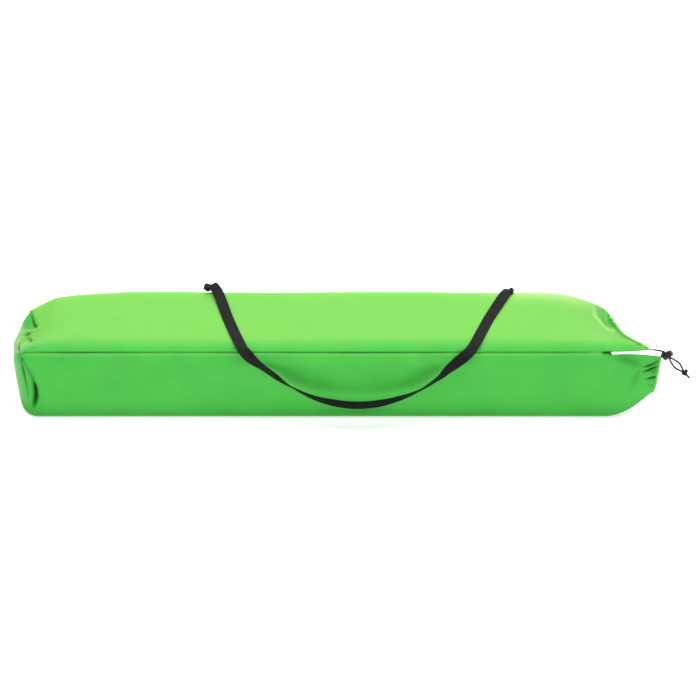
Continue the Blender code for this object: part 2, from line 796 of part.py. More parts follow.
def add_arm(arms, pins, x, axis_in, axis_side, root, tip, pivot, arm_layer):
    """One arm that holds a bar's end: a block in one layer, and a pin into the other.

    axis_in runs from root to tip, axis_side is the layers' direction.
    """
    side = axis_side * arm_layer
    x_way = Vector((1, 0, 0))
    span_box(
        arms,
        (x_way, axis_in, side),
        ((x - ARM_HALF_X, x + ARM_HALF_X), (root, tip), (LAYER - BAR_THICK / 2, LAYER + BAR_THICK / 2)),
    )
    foot = x_way * x + axis_in * pivot
    add_cylinder(pins, foot + side * LAYER, foot - side * (LAYER + BAR_THICK / 2 + GAP), RIVET_R, 8)


def make_bracket(k, plastic, top):
    """A corner bracket on leg k: the fixed one at the top, or the one that slides."""
    outward, along = SIDES[k]
    before_outward, before_along = SIDES[k - 1]
    centre = outward * LEG_OFFSET - along * LEG_OFFSET + Vector((0, 0, MID_Z))
    low, high = TOP_SLEEVE if top else SLIDER_SLEEVE
    pivot_x = TOP_PIVOT_X if top else LOW_PIVOT_X
    half = SLEEVE_HALF
    name = ("top_bracket_" if top else "slider_") + LEG_NAMES[k]
    bm = bmesh.new()
    add_box(bm, (low, -half, -half), (high, half, half))
    bracket = mesh_object(name, bm, plastic)

    arms, pins = bmesh.new(), bmesh.new()
    tip = LEG_OFFSET - ARM_TIP
    pivot = LEG_OFFSET - BAR_STEP
    # The top brackets hold the outer bar of the side that starts here and the inner bar
    # of the side that ends here, and the sliders hold the other two.
    layer = -1 if top else 1
    add_arm(arms, pins, pivot_x, along, outward, half - 0.003, tip, pivot, layer)
    add_arm(arms, pins, pivot_x, -before_along, before_outward, half - 0.003, tip, pivot, -layer)
    boolean(bracket, mesh_object(name + "_arms", arms), "UNION")
    boolean(bracket, mesh_object(name + "_pins", pins), "UNION")

    socket = bmesh.new()
    inner = SOCKET_HALF
    add_box(socket, (low + 0.005 if top else low - 0.01, -inner, -inner), (high + 0.01, inner, inner))
    if not top:
        sy = math.copysign(1, centre.y)
        add_cylinder(socket, (KNOB_X, sy * 0.010, 0), (KNOB_X, sy * 0.030, 0), KNOB_PIN_R + 0.0005, 12)
    boolean(bracket, mesh_object(name + "_socket", socket), "DIFFERENCE")
    bracket.location = centre


def make_latch_knob(k, plastic):
    """The spring-loaded pull knob that locks slider k to its leg."""
    outward, along = SIDES[k]
    centre = outward * LEG_OFFSET - along * LEG_OFFSET + Vector((0, 0, MID_Z))
    side = math.copysign(1, centre.y)
    face = SLEEVE_HALF + GAP
    shape = (
        (KNOB_CAP_R * 0.80, face + KNOB_CAP),
        (KNOB_CAP_R, face + KNOB_CAP - 0.0010),
        (KNOB_CAP_R * 0.78, face + 0.0030),
        (KNOB_CAP_R, face + 0.0012),
        (KNOB_CAP_R, face),
        (KNOB_PIN_R, face),
        (KNOB_PIN_R, LEG_OUTER / 2 + 2 * GAP),
    )
    knob = turned("latch_knob_" + LEG_NAMES[k], shape, 12, plastic)
    knob.matrix_world = point_along(centre + Vector((KNOB_X, 0, 0)), Vector((0, side, 0)))
    return knob


def make_hub(name, x, pole_bar, bore, plastic):
    """A hub round the centre pole with an arm for one bar of each roof pair."""
    centre = Vector((0, 0, MID_Z))
    bm = bmesh.new()
    add_box(bm, (x - 0.020, -HUB_HALF, -HUB_HALF), (x + 0.020, HUB_HALF, HUB_HALF))
    hub = mesh_object(name, bm, plastic)
    arms, pins = bmesh.new(), bmesh.new()
    for outward, along in SIDES:
        add_arm(arms, pins, x, outward, along, HUB_HALF - 0.002, HUB_POLE_R + 0.007, HUB_POLE_R, pole_bar)
    boolean(hub, mesh_object(name + "_arms", arms), "UNION")
    boolean(hub, mesh_object(name + "_pins", pins), "UNION")
    if bore:
        bm = bmesh.new()
        add_cylinder(bm, (x - 0.05, 0, 0), (x + 0.05, 0, 0), bore, 24)
        boolean(hub, mesh_object(name + "_bore", bm), "DIFFERENCE")
    hub.location = centre
    return hub


def make_centre(steel, plastic):
    """The centre pole with its fixed lower hub, and the upper hub that slides on it."""
    make_hub("roof_hub", TOP_PIVOT_X, 1, POLE_R + 0.0005, plastic)
    pole = make_hub("centre_pole", LOW_PIVOT_X, -1, None, steel)
    bm = bmesh.new()
    add_cylinder(bm, (POLE_TOP_X, 0, 0), (LOW_PIVOT_X, 0, 0), POLE_R, 20)
    boolean(pole, mesh_object("pole_tube", bm), "UNION")
    bm = bmesh.new()
    add_cylinder(bm, (POLE_TOP_X - 0.01, 0, 0), (LOW_PIVOT_X + 0.05, 0, 0), POLE_R - POLE_WALL, 20)
    boolean(pole, mesh_object("pole_bore", bm), "DIFFERENCE")


def make_roof_cover(cloth):
    """The folded roof cloth, wrapped round the frame as a soft open sleeve."""
    bm = bmesh.new()
    outer = rounded_square(*COVER_OUTER, 0.022, 5)
    inner = rounded_square(*COVER_INNER, 0.010, 5)
    rings = []
    for x, outline in ((COVER_X[0], inner), (COVER_X[0], outer), (COVER_X[1], outer), (COVER_X[1], inner)):
        rings.append([bm.verts.new((x, y, z + MID_Z)) for y, z in outline])
    count = len(outer)
    for a, b in zip(rings, rings[1:] + rings[:1]):
        for i in range(count):
            j = (i + 1) % count
            bm.faces.new((a[i], a[j], b[j], b[i]))
    mesh_object("roof_cover", bm, cloth)


def hang_on(name, place, pieces):
    """An empty on a joint's axis, with the pieces that move about it as its children."""
    empty = bpy.data.objects.new(name, None)
    empty.matrix_world = place
    CANOPY.objects.link(empty)
    for piece in pieces:
        piece.parent = empty
        piece.matrix_parent_inverse = place.inverted()
    return empty


def add_joint_empties():
    """The moving groups: the strap on its seam, the lock on its cords, and the frame in the bag."""
    frame_parts = ("outer_leg", "top_bracket", "slider", "centre_pole", "roof_", *SIDE_NAMES)
    named = {obj.name: obj for obj in CANOPY.objects}
    lock = hang_on("cord_lock_axis", lock_place(), [named["cord_lock_barrel"], named["cord_lock_spring"]])
    hang_on("plunger_axis", lock_place(), [named["cord_lock_plunger"]]).parent = lock
    bpy.data.objects["plunger_axis"].matrix_parent_inverse = lock_place().inverted()
    hang_on("strap_hinge", Matrix.Translation(STRAP_HINGE), [named["carry_strap"]])
    middle = Matrix.Translation((0, 0, MID_Z))
    parts = [obj for name, obj in named.items() if name.startswith(frame_parts)]
    frame = hang_on("frame_slide", middle, parts)
    for k, leg in enumerate(LEG_NAMES):
        outward, along = SIDES[k]
        axis = Matrix.Translation(outward * LEG_OFFSET - along * LEG_OFFSET + Vector((0, 0, MID_Z)))
        for prefix in ("inner_leg_", "latch_knob_"):
            hang_on(prefix + leg + "_axis", axis, [named[prefix + leg]]).parent = frame
            bpy.data.objects[prefix + leg + "_axis"].matrix_parent_inverse = middle.inverted()


def main():
    green = material("bag_fabric", (0.10, 0.62, 0.09), 0.62)
    cloth = material("roof_cloth", (0.09, 0.55, 0.08), 0.70)
    webbing = material("strap_webbing", (0.020, 0.018, 0.020), 0.75)
    cord = material("drawcord", (0.015, 0.015, 0.017), 0.80)
    lock = material("lock_plastic", (0.020, 0.020, 0.022), 0.38)
    spring = material("spring_steel", (0.55, 0.55, 0.56), 0.30, 1.0)
    steel = material("painted_steel", (0.72, 0.73, 0.74), 0.42)
    nylon = material("bracket_nylon", (0.035, 0.036, 0.038), 0.50)

    make_bag_panels(green)
    make_bag_mouth(green)
    make_strap(webbing)
    make_drawcord(cord)
    make_cord_lock(lock, spring)
    for k in range(4):
        make_leg(k, steel)
        make_bracket(k, nylon, top=True)
        make_bracket(k, nylon, top=False)
        make_latch_knob(k, lock)
        make_side_scissors(k, steel)
        make_roof_scissors(k, steel)
    make_centre(steel, nylon)
    make_roof_cover(cloth)
    add_joint_empties()


clear_scene()
CANOPY = new_collection("pop_up_canopy")
CUTTERS = new_collection("cutters")
main()
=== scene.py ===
"""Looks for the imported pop-up canopy: a green carry bag with its strap, drawstring and lock.

Lengths are in metres, in the row frame: +X to the bag's mouth, +Y to its back panel, +Z up.
"""

import math

import bmesh
import bpy
import numpy as np
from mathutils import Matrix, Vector, noise


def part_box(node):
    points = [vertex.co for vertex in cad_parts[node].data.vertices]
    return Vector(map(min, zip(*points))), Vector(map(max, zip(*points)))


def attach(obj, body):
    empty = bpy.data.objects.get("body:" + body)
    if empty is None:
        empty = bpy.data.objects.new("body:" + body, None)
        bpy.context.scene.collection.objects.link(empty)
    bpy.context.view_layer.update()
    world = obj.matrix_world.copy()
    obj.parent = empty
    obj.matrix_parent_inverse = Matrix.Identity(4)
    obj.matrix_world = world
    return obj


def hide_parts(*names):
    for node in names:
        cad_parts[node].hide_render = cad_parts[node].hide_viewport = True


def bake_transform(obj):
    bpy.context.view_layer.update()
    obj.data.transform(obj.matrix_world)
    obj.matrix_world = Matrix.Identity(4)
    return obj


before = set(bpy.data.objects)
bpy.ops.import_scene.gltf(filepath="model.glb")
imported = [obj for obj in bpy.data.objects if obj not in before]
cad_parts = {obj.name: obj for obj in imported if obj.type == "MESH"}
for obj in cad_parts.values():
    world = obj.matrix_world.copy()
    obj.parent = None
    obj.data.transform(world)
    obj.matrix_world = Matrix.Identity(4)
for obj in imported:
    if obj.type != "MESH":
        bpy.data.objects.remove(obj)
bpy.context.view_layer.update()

# --- view ---
VIEW_TARGET = Vector((0.037, 0.0, 0.118))
VIEW_ELEVATION = math.radians(42.0)
VIEW_LIFT = 0.008
VIEW_DISTANCE = 25.0
VIEW_WIDTH = 1.881

# --- the bag's outline ---
SEAM = (-0.1186, 0.2256)
TOP_EDGE = (-0.075, 0.2040, 0.057, 0.0335)
BACK_TOP = (0.0990, 0.2066, 0.0320)
MIDDLE_Z = 0.118
GIRTH = 0.955
BACK_Y = 0.131
FRONT_Y = -0.131
FOOT_R = 0.014
TUBE_END_X = 0.7212
END_X = -0.864
SQUARE_END_X = -0.800
ROUND_END = (  # x, and how far the outline has opened, where the end is rounded off at the back top
    (-0.8640, 0.00),
    (-0.8620, 0.22),
    (-0.8520, 0.38),
    (-0.8410, 0.54),
    (-0.8230, 0.71),
    (-0.7980, 0.79),
    (-0.7750, 0.86),
    (-0.7540, 0.915),
    (-0.7200, 0.945),
    (-0.6600, 0.972),
    (-0.5600, 1.00),
)
COLUMNS = 320
TUBE_ROWS = 300
END_ROWS = 84
MOUTH_ROWS = 64
CLOTH = 0.0008
SEAM_CROWDING = 0.86
END_CROWDING = 0.72
SAG_FROM_X = 0.50
SAG_RUN = 0.2212
SAG_DEPTH = 0.056
SLIT_OPEN = 0.0046
SLIT_DROP = 0.0020
TILT_COS, TILT_SIN = 0.743, 0.669  # of 42 degrees, the slope the photograph was taken from
END_LEAN = (  # tilted height, and how far the closed end leans in there
    (-0.16, 0.008),
    (-0.126, 0.0095),
    (-0.10, 0.008),
    (-0.035, 0.0),
    (0.021, -0.006),
    (0.06, 0.0),
)

# --- the strap and the drawcord; the cord is drawn 1 mm thicker than in the CAD model ---
STRAP_WIDTH = 0.030
STRAP_THICK = 0.0018
CORD_R = 0.0026
LOCK_CENTRE = Vector((0.882, -0.143, 0.238))
CORD_WAY = Vector((0.643, 0.0, -0.766)).normalized()
LOCK_R = 0.010
LOCK_GAP = 0.0006
LOCK_EXIT = LOCK_CENTRE + CORD_WAY * (LOCK_R + LOCK_GAP)
LOCK_CORD_APART = 0.0046
CORD_SIDE = Vector((0, LOCK_CORD_APART / 2, 0))
KNOT_CENTRE = Vector((0.931, -0.143, 0.176))
KNOT_R = 0.0068
BRAID_TWIST = 2600.0
BRAID_RIDGE = 0.06
ONE_TURN = 6.283


# --- shared helpers ---
def smoothstep(low, high, value):
    t = np.clip((np.asarray(value, float) - low) / (high - low), 0.0, 1.0)
    return t * t * (3.0 - 2.0 * t)


def curve_point(points, k, t):
    """Catmull-Rom point between points[k] and points[k + 1]."""
    p0 = points[max(k - 1, 0)]
    p1, p2 = points[k], points[k + 1]
    p3 = points[min(k + 2, len(points) - 1)]
    a = 2 * p1
    b = (p2 - p0) * t
    c = (2 * p0 - 5 * p1 + 4 * p2 - p3) * t * t
    d = (3 * p1 - p0 - 3 * p2 + p3) * t * t * t
    return (a + b + c + d) / 2


def smooth_path(points, count):
    """count points at even steps along a smooth curve through the given points."""
    points = [Vector(p) for p in points]
    fine = []
    steps = 24
    for k in range(len(points) - 1):
        for step in range(steps):
            fine.append(curve_point(points, k, step / steps))
    fine.append(points[-1])
    run = np.concatenate(([0.0], np.cumsum([(b - a).length for a, b in zip(fine, fine[1:])])))
    even = np.linspace(0.0, run[-1], count)
    fine = np.array(fine)
    return np.stack([np.interp(even, run, fine[:, k]) for k in range(3)], axis=1)


def mesh_piece(name, verts, faces, material, uvs=None):
    """A smooth-shaded mesh object from arrays; uvs holds one (u, v) for each vertex."""
    mesh = bpy.data.meshes.new(name)
    mesh.from_pydata([tuple(map(float, v)) for v in verts], [], faces)
    mesh.update()
    for polygon in mesh.polygons:
        polygon.use_smooth = True
    if uvs is not None:
        layer = mesh.uv_layers.new(name="cloth")
        loops = np.empty(len(mesh.loops), int)
        mesh.loops.foreach_get("vertex_index", loops)
        layer.data.foreach_set("uv", np.asarray(uvs, np.float32)[loops].ravel())
    obj = bpy.data.objects.new(name, mesh)
    bpy.context.collection.objects.link(obj)
    if material:
        mesh.materials.append(material)
    return obj


def grid_faces(rows, columns, close=False):
    """Quads over a grid of rows by columns vertices."""
    faces = []
    last = columns if close else columns - 1
    for r in range(rows - 1):
        for c in range(last):
            d = (c + 1) % columns
            a = r * columns
            b = a + columns
            faces.append((a + c, a + d, b + d, b + c))
    return faces


def run_along(points):
    """Length from a line's first point to each of its points."""
    return np.concatenate(([0.0], np.cumsum(np.linalg.norm(np.diff(points, axis=0), axis=1))))


def outward_faces(obj):
    """Turns a closed mesh's faces outwards."""
    bm = bmesh.new()
    bm.from_mesh(obj.data)
    bmesh.ops.recalc_face_normals(bm, faces=bm.faces)
    bm.to_mesh(obj.data)
    bm.free()
    return obj


def end_caps(rows, around):
    """The two end faces of a tube of rows by around vertices."""
    first = tuple(range(around - 1, -1, -1))
    return [first, tuple(range((rows - 1) * around, rows * around))]


def normals_of(grid):
    """Unit normals of a grid of points, by its own rows and columns."""
    along = np.gradient(grid, axis=0)
    across = np.gradient(grid, axis=1)
    normal = np.cross(along, across)
    size = np.linalg.norm(normal, axis=2, keepdims=True)
    return normal / np.maximum(size, 1e-9)


def bell(gap, width, power=2):
    """1 where gap is 0, falling smoothly to nearly 0 beyond width."""
    return np.exp(-((gap / width) ** power))


def noise_along(run, scale, row, seed):
    """Smooth noise at each place of a line, given the places' lengths along it."""
    return np.array([noise.noise(Vector((s * scale, row, seed))) for s in run])


def swell(points, scale, seed):
    """Smooth noise from -1 to 1 at each point; scale is how many swells a metre along each axis."""
    shift = Vector((seed * 7.3, seed * 3.1, seed * 5.7))
    flat = np.asarray(points).reshape(-1, 3) * np.asarray(scale)
    values = [noise.noise(Vector(p) + shift) for p in flat]
    return np.array(values).reshape(np.asarray(points).shape[:-1])


def distance_to(points, route):
    """Distance from each point to a polyline, and the share of the polyline's length at the nearest place."""
    route = np.asarray(route, float)
    best = np.full(points.shape[:-1], 1e9)
    share = np.zeros(points.shape[:-1])
    lengths = np.linalg.norm(np.diff(route, axis=0), axis=1)
    total = lengths.sum()
    done = 0.0
    for a, b, size in zip(route, route[1:], lengths):
        way = b - a
        t = np.clip(((points - a) @ way) / (size * size), 0.0, 1.0)
        gap = np.linalg.norm(points - (a + t[..., None] * way), axis=-1)
        nearer = gap < best
        best = np.where(nearer, gap, best)
        share = np.where(nearer, (done + t * size) / total, share)
        done += size
    return best, share


# --- materials ---
def new_material(name, colour, roughness, specular=0.5, metallic=0.0):
    material = bpy.data.materials.new(name)
    material.use_nodes = True
    shader = material.node_tree.nodes["Principled BSDF"]
    shader.inputs["Base Color"].default_value = (*colour, 1.0)
    shader.inputs["Roughness"].default_value = roughness
    shader.inputs["Specular IOR Level"].default_value = specular
    shader.inputs["Metallic"].default_value = metallic
    return material, material.node_tree, shader


def place_input(tree, source="Object", scale=(1, 1, 1)):
    """Texture coordinates in metres, scaled."""
    coords = tree.nodes.new("ShaderNodeTexCoord")
    mapping = tree.nodes.new("ShaderNodeMapping")
    mapping.inputs["Scale"].default_value = scale
    tree.links.new(coords.outputs[source], mapping.inputs["Vector"])
    return mapping.outputs["Vector"]


def colour_mix(tree, factor, low, high):
    mix = tree.nodes.new("ShaderNodeMix")
    mix.data_type = "RGBA"
    tree.links.new(factor, mix.inputs["Factor"])
    for socket, value in (("A", low), ("B", high)):
        target = [s for s in mix.inputs if s.name == socket and s.type == "RGBA"][0]
        if isinstance(value, tuple):
            target.default_value = (*value, 1.0)
        else:
            tree.links.new(value, target)
    return [s for s in mix.outputs if s.type == "RGBA"][0]


def spread(tree, value, low, high, to_low=0.0, to_high=1.0, ends="LINEAR"):
    """A value from low to high, spread over to_low to to_high."""
    node = tree.nodes.new("ShaderNodeMapRange")
    node.interpolation_type = ends
    tree.links.new(value, node.inputs["Value"])
    for key, limit in (("From Min", low), ("From Max", high), ("To Min", to_low), ("To Max", to_high)):
        node.inputs[key].default_value = limit
    return node.outputs["Result"]


def smooth_spread(tree, value, low, high):
    """0 at low to 1 at high, with soft ends."""
    if low > high:
        return spread(tree, value, high, low, 1.0, 0.0, "SMOOTHSTEP")
    return spread(tree, value, low, high, 0.0, 1.0, "SMOOTHSTEP")


def attribute_value(tree, name):
    node = tree.nodes.new("ShaderNodeAttribute")
    node.attribute_name = name
    return node.outputs["Fac"]


def noise_value(tree, where, scale, detail=4.0, roughness=0.55):
    node = tree.nodes.new("ShaderNodeTexNoise")
    for key, value in (("Scale", scale), ("Detail", detail), ("Roughness", roughness)):
        node.inputs[key].default_value = value
    tree.links.new(where, node.inputs["Vector"])
    return node.outputs["Fac"]


def wave_value(tree, where, scale, direction):
    node = tree.nodes.new("ShaderNodeTexWave")
    node.wave_type = "BANDS"
    node.bands_direction = direction
    node.inputs["Scale"].default_value = scale
    node.inputs["Distortion"].default_value = 0.0
    tree.links.new(where, node.inputs["Vector"])
    return node.outputs["Fac"]


def add_bump(tree, height, strength, distance, before=None):
    node = tree.nodes.new("ShaderNodeBump")
    node.inputs["Strength"].default_value = strength
    node.inputs["Distance"].default_value = distance
    tree.links.new(height, node.inputs["Height"])
    if before is not None:
        tree.links.new(before, node.inputs["Normal"])
    return node.outputs["Normal"]


def math_value(tree, operation, first, second):
    node = tree.nodes.new("ShaderNodeMath")
    node.operation = operation
    for socket, value in zip(node.inputs, (first, second)):
        if isinstance(value, float):
            socket.default_value = value
        else:
            tree.links.new(value, socket)
    return node.outputs["Value"]


def times(tree, first, second):
    return math_value(tree, "MULTIPLY", first, second)


def plug(tree, value, shader, name):
    tree.links.new(value, shader.inputs[name])


def oxford_cloth(name, dark, light, threads=1100.0, crumple=0.35, lit_top_colour=None, seams=()):
    """Coated polyester: a fine plain weave, an uneven dye, a soft crumple, and painted shade and highlights
    along its folds, seams and edges.

    The colour for the top panel is painted top light: the top drawn lighter and yellower where the lamp above
    falls, with a painted highlight along the back top edge; seams are girth places of sewn lines.
    """
    material, tree, shader = new_material(name, light, 0.50, 0.22)
    shader.inputs["Sheen Weight"].default_value = 0.03
    shader.inputs["Sheen Roughness"].default_value = 0.5
    place = place_input(tree)
    cloth = place_input(tree, "UV")
    dye = noise_value(tree, place, 9.0, 5.0)
    shade = colour_mix(tree, spread(tree, dye, 0.3, 0.7), dark, light)
    split = tree.nodes.new("ShaderNodeSeparateXYZ")
    tree.links.new(cloth, split.inputs["Vector"])
    girth = split.outputs["Y"]
    # Painted top light: the top panel lighter and yellower in random patches, and withheld where the cloth
    # turns from the sun.
    if lit_top_colour is not None:
        near = smooth_spread(tree, girth, 0.012, 0.056)
        back = smooth_spread(tree, girth, 0.300, 0.262)
        top = times(tree, near, back)
        patchy = spread(tree, noise_value(tree, place, 5.0, 3.0), 0.25, 0.75, 0.86, 1.0)
        turned = attribute_value(tree, "fold_turn")
        lying = math_value(tree, "SUBTRACT", 1.0, turned)
        top = times(tree, top, lying)
        shade = colour_mix(tree, times(tree, top, patchy), shade, lit_top_colour)
        # A painted highlight along the back top edge.
        far = smooth_spread(tree, girth, 0.200, 0.262)
        far = times(tree, times(tree, far, back), lying)
        painted_rim_highlight = tuple(c * 1.5 for c in lit_top_colour)
        shade = colour_mix(tree, times(tree, far, 0.55), shade, painted_rim_highlight)
        # Painted highlights on ridges and lit edges.
        shade = colour_mix(tree, attribute_value(tree, "fold_light"), shade, (0.330, 0.500, 0.170))
    # Painted shade in folds, along seams, near the bottom and under the strap, with less gloss there.
    folded = attribute_value(tree, "fold_shade")
    shade = colour_mix(tree, folded, shade, (0.0010, 0.026, 0.0008))
    plug(tree, shade, shader, "Base Color")
    gloss = spread(tree, folded, 0.0, 1.0, 0.22, 0.0)
    plug(tree, gloss, shader, "Specular IOR Level")
    rough = noise_value(tree, place, 22.0, 3.0)
    plug(tree, spread(tree, rough, 0.3, 0.7, 0.42, 0.56), shader, "Roughness")
    warp = wave_value(tree, cloth, threads / ONE_TURN, "X")
    weft = wave_value(tree, cloth, threads / ONE_TURN, "Y")
    weave = times(tree, warp, weft)
    bump = add_bump(tree, weave, 0.20, 0.00012)
    fine = noise_value(tree, place, 60.0, 5.0, 0.6)
    bump = add_bump(tree, fine, crumple, 0.0006, bump)
    wide = noise_value(tree, place, 14.0, 3.0, 0.5)
    bump = add_bump(tree, wide, crumple, 0.0022, bump)
    for seam in seams:
        away = math_value(tree, "ABSOLUTE", math_value(tree, "SUBTRACT", girth, seam), 0.0)
        line = smooth_spread(tree, away, 0.0007, 0.0022)
        bump = add_bump(tree, line, 0.8, 0.0014, bump)
        stitches = math_value(tree, "SUBTRACT", away, 0.0048)
        row = smooth_spread(tree, math_value(tree, "ABSOLUTE", stitches, 0.0), 0.0007, 0.0002)
        dash = spread(tree, wave_value(tree, cloth, 1 / 0.0032 / 2, "X"), 0.35, 0.6)
        bump = add_bump(tree, times(tree, row, dash), 0.7, 0.0006, bump)
    plug(tree, bump, shader, "Normal")
    return material


def webbing(name):
    """Black ribbed polypropylene webbing."""
    material, tree, shader = new_material(name, (0.004, 0.004, 0.004), 0.65, 0.12)
    shader.inputs["Sheen Weight"].default_value = 0.03
    shader.inputs["Sheen Roughness"].default_value = 0.4
    cloth = place_input(tree, "UV")
    ribs = wave_value(tree, cloth, 1 / 0.0028 / 2, "X")
    threads = wave_value(tree, cloth, 1 / 0.0012 / 2, "Y")
    weave = times(tree, ribs, spread(tree, threads, 0.0, 1.0, 0.5, 1.0))
    bump = add_bump(tree, weave, 0.7, 0.0005)
    plug(tree, bump, shader, "Normal")
    fade = noise_value(tree, place_input(tree), 40.0)
    worn = spread(tree, fade, 0.35, 0.65)
    shade = colour_mix(tree, worn, (0.0022, 0.0020, 0.0024), (0.0060, 0.0054, 0.0064))
    plug(tree, shade, shader, "Base Color")
    return material


def braided_cord(name):
    material, tree, shader = new_material(name, (0.004, 0.004, 0.005), 0.6, 0.2)
    shader.inputs["Sheen Weight"].default_value = 0.03
    place = place_input(tree)
    weave = noise_value(tree, place, 900.0, 2.0)
    plug(tree, add_bump(tree, weave, 0.6, 0.0004), shader, "Normal")
    shade = colour_mix(tree, weave, (0.002, 0.002, 0.0025), (0.008, 0.008, 0.009))
    plug(tree, shade, shader, "Base Color")
    return material


def moulded_plastic(name, colour, grain=1600.0):
    material, tree, shader = new_material(name, colour, 0.42, 0.2)
    place = place_input(tree)
    pits = noise_value(tree, place, grain, 2.0)
    plug(tree, add_bump(tree, pits, 0.25, 0.00008), shader, "Normal")
    wear = noise_value(tree, place, 60.0)
    plug(tree, spread(tree, wear, 0.3, 0.7, 0.30, 0.46), shader, "Roughness")
    shade = colour_mix(tree, wear, colour, tuple(c * 1.5 + 0.002 for c in colour))
    plug(tree, shade, shader, "Base Color")
    return material


def powder_coat(name, colour):
    """Powder-coated steel: a fine orange peel, and uneven dirt."""
    material, tree, shader = new_material(name, colour, 0.38, 0.5)
    place = place_input(tree)
    peel = noise_value(tree, place, 700.0, 2.0)
    plug(tree, add_bump(tree, peel, 0.25, 0.00015), shader, "Normal")
    dirt = noise_value(tree, place, 18.0, 6.0, 0.65)
    shade = colour_mix(tree, spread(tree, dirt, 0.35, 0.75), colour, tuple(c * 0.86 for c in colour))
    plug(tree, shade, shader, "Base Color")
    plug(tree, spread(tree, dirt, 0.3, 0.7, 0.32, 0.48), shader, "Roughness")
    return material


def bright_steel(name):
    material, tree, shader = new_material(name, (0.62, 0.62, 0.63), 0.3, 0.5, 1.0)
    place = place_input(tree, "Object", (1, 1, 40))
    drawn = noise_value(tree, place, 200.0, 3.0)
    plug(tree, spread(tree, drawn, 0.3, 0.7, 0.22, 0.40), shader, "Roughness")
    plug(tree, add_bump(tree, drawn, 0.2, 0.00005), shader, "Normal")
    return material


def floor_paper(name):
    material, tree, shader = new_material(name, (0.92, 0.92, 0.92), 0.8, 0.2)
    place = place_input(tree)
    shade = colour_mix(tree, noise_value(tree, place, 3.0), (0.91, 0.91, 0.91), (0.93, 0.93, 0.93))
    plug(tree, shade, shader, "Base Color")
    shader.inputs["Emission Color"].default_value = (1.0, 1.0, 1.0, 1.0)
    shader.inputs["Emission Strength"].default_value = 0.28
    return material


# The bag's oxford; its top-panel colour is painted top light.
GREEN = oxford_cloth(
    "green_oxford",
    (0.0270, 0.288, 0.0245),
    (0.0335, 0.327, 0.0305),
    lit_top_colour=(0.1050, 0.356, 0.0400),
    seams=(0.0, 0.254, 0.483, 0.739, GIRTH),
)
# The hem's oxford is a lighter, yellower copy of the bag's: a painted highlight along its lit edge.
LIT_HEM_GREEN = oxford_cloth("lit_hem_oxford", (0.070, 0.360, 0.036), (0.120, 0.420, 0.050), 1100.0, 0.5)
ROOF_GREEN = oxford_cloth("roof_polyester", (0.030, 0.300, 0.028), (0.040, 0.350, 0.036), 1400.0, 0.6)
STRAP = webbing("black_webbing")
CORD = braided_cord("black_braid")
PLASTIC = moulded_plastic("black_acetal", (0.0035, 0.0035, 0.0050))
NYLON = moulded_plastic("black_nylon", (0.035, 0.036, 0.038), 900.0)
STEEL = powder_coat("powder_coated_steel", (0.34, 0.35, 0.36))
WIRE = bright_steel("spring_wire")


# --- the bag's skin ---
def column_shares(count):
    """Shares of the outline for the columns: closer together beside the seam."""
    t = np.linspace(0.0, 1.0, count)
    return t - SEAM_CROWDING * np.sin(2 * math.pi * t) / (2 * math.pi)


def tube_shares(count):
    """Shares of the tube's length for its rows: closer together at the closed end and the mouth."""
    t = np.linspace(0.0, 1.0, count)
    return t - END_CROWDING * np.sin(2 * math.pi * t) / (2 * math.pi)


def arc(centre, half_y, half_z, first, last, count):
    """(y, z) points along part of an ellipse, between two angles in degrees."""
    turns = [math.radians(angle) for angle in np.linspace(first, last, count)]
    return [(centre[0] + half_y * math.cos(t), centre[1] + half_z * math.sin(t)) for t in turns]


def outline(count):
    """(y, z) points round the bag from the front-top seam over the top and round, and the girth."""
    fine = []
    y0, z0, a, b = TOP_EDGE
    start = math.degrees(math.asin((SEAM[1] - z0) / b))
    fine += arc((y0, z0), -a, b, start, 90, 30)
    by, bz, br = BACK_TOP
    for t in np.linspace(0.02, 0.98, 40):
        rise = 0.0008 * math.sin(math.pi * t)
        fine.append((y0 + (by - y0) * t, z0 + b + (bz + br - z0 - b) * t + rise))
    fine += arc((by, bz), br, br, 90, 0, 30)
    fine += arc((BACK_Y - FOOT_R, FOOT_R), FOOT_R, FOOT_R, 0, -90, 16)
    fine += arc((FRONT_Y + FOOT_R, FOOT_R), FOOT_R, FOOT_R, -90, -180, 16)
    for t in np.linspace(0.02, 1.0, 60):
        lean = (SEAM[0] - FRONT_Y) * smoothstep(0.80, 1.0, t) ** 1.4
        fine.append((FRONT_Y + lean, FOOT_R + (SEAM[1] - FOOT_R) * t))
    fine = np.array(fine)
    run = run_along(fine)
    places = column_shares(count) * run[-1]
    return np.stack([np.interp(places, run, fine[:, k]) for k in range(2)], axis=1), run[-1]


def hem_points(count):
    """The mouth's hem, matched to shares of the outline from the seam over the top and round."""
    route = (  # point, and the share of the outline that leads to it
        ((0.8400, -0.1190, 0.2370), 0.00),
        ((0.8150, -0.0980, 0.2380), 0.05),
        ((0.7680, -0.0520, 0.2370), 0.10),
        ((0.7470, 0.0000, 0.2270), 0.16),
        ((0.7400, 0.0450, 0.2040), 0.235),
        ((0.7370, 0.0740, 0.1600), 0.31),
        ((0.7360, 0.0820, 0.1100), 0.39),
        ((0.7390, 0.0600, 0.0620), 0.48),
        ((0.7540, 0.0100, 0.0400), 0.58),
        ((0.7900, -0.0500, 0.0420), 0.66),
        ((0.8330, -0.0980, 0.0640), 0.74),
        ((0.8520, -0.1240, 0.1000), 0.82),
        ((0.8590, -0.1330, 0.1500), 0.89),
        ((0.8670, -0.1350, 0.2250), 1.00),
    )
    points = [Vector(point) for point, _ in route]
    shares = np.array([share for _, share in route])
    hem = []
    for share in column_shares(count):
        k = int(np.clip(np.searchsorted(shares, share, side="right") - 1, 0, len(shares) - 2))
        hem.append(curve_point(points, k, (share - shares[k]) / (shares[k + 1] - shares[k])))
    return np.array(hem)


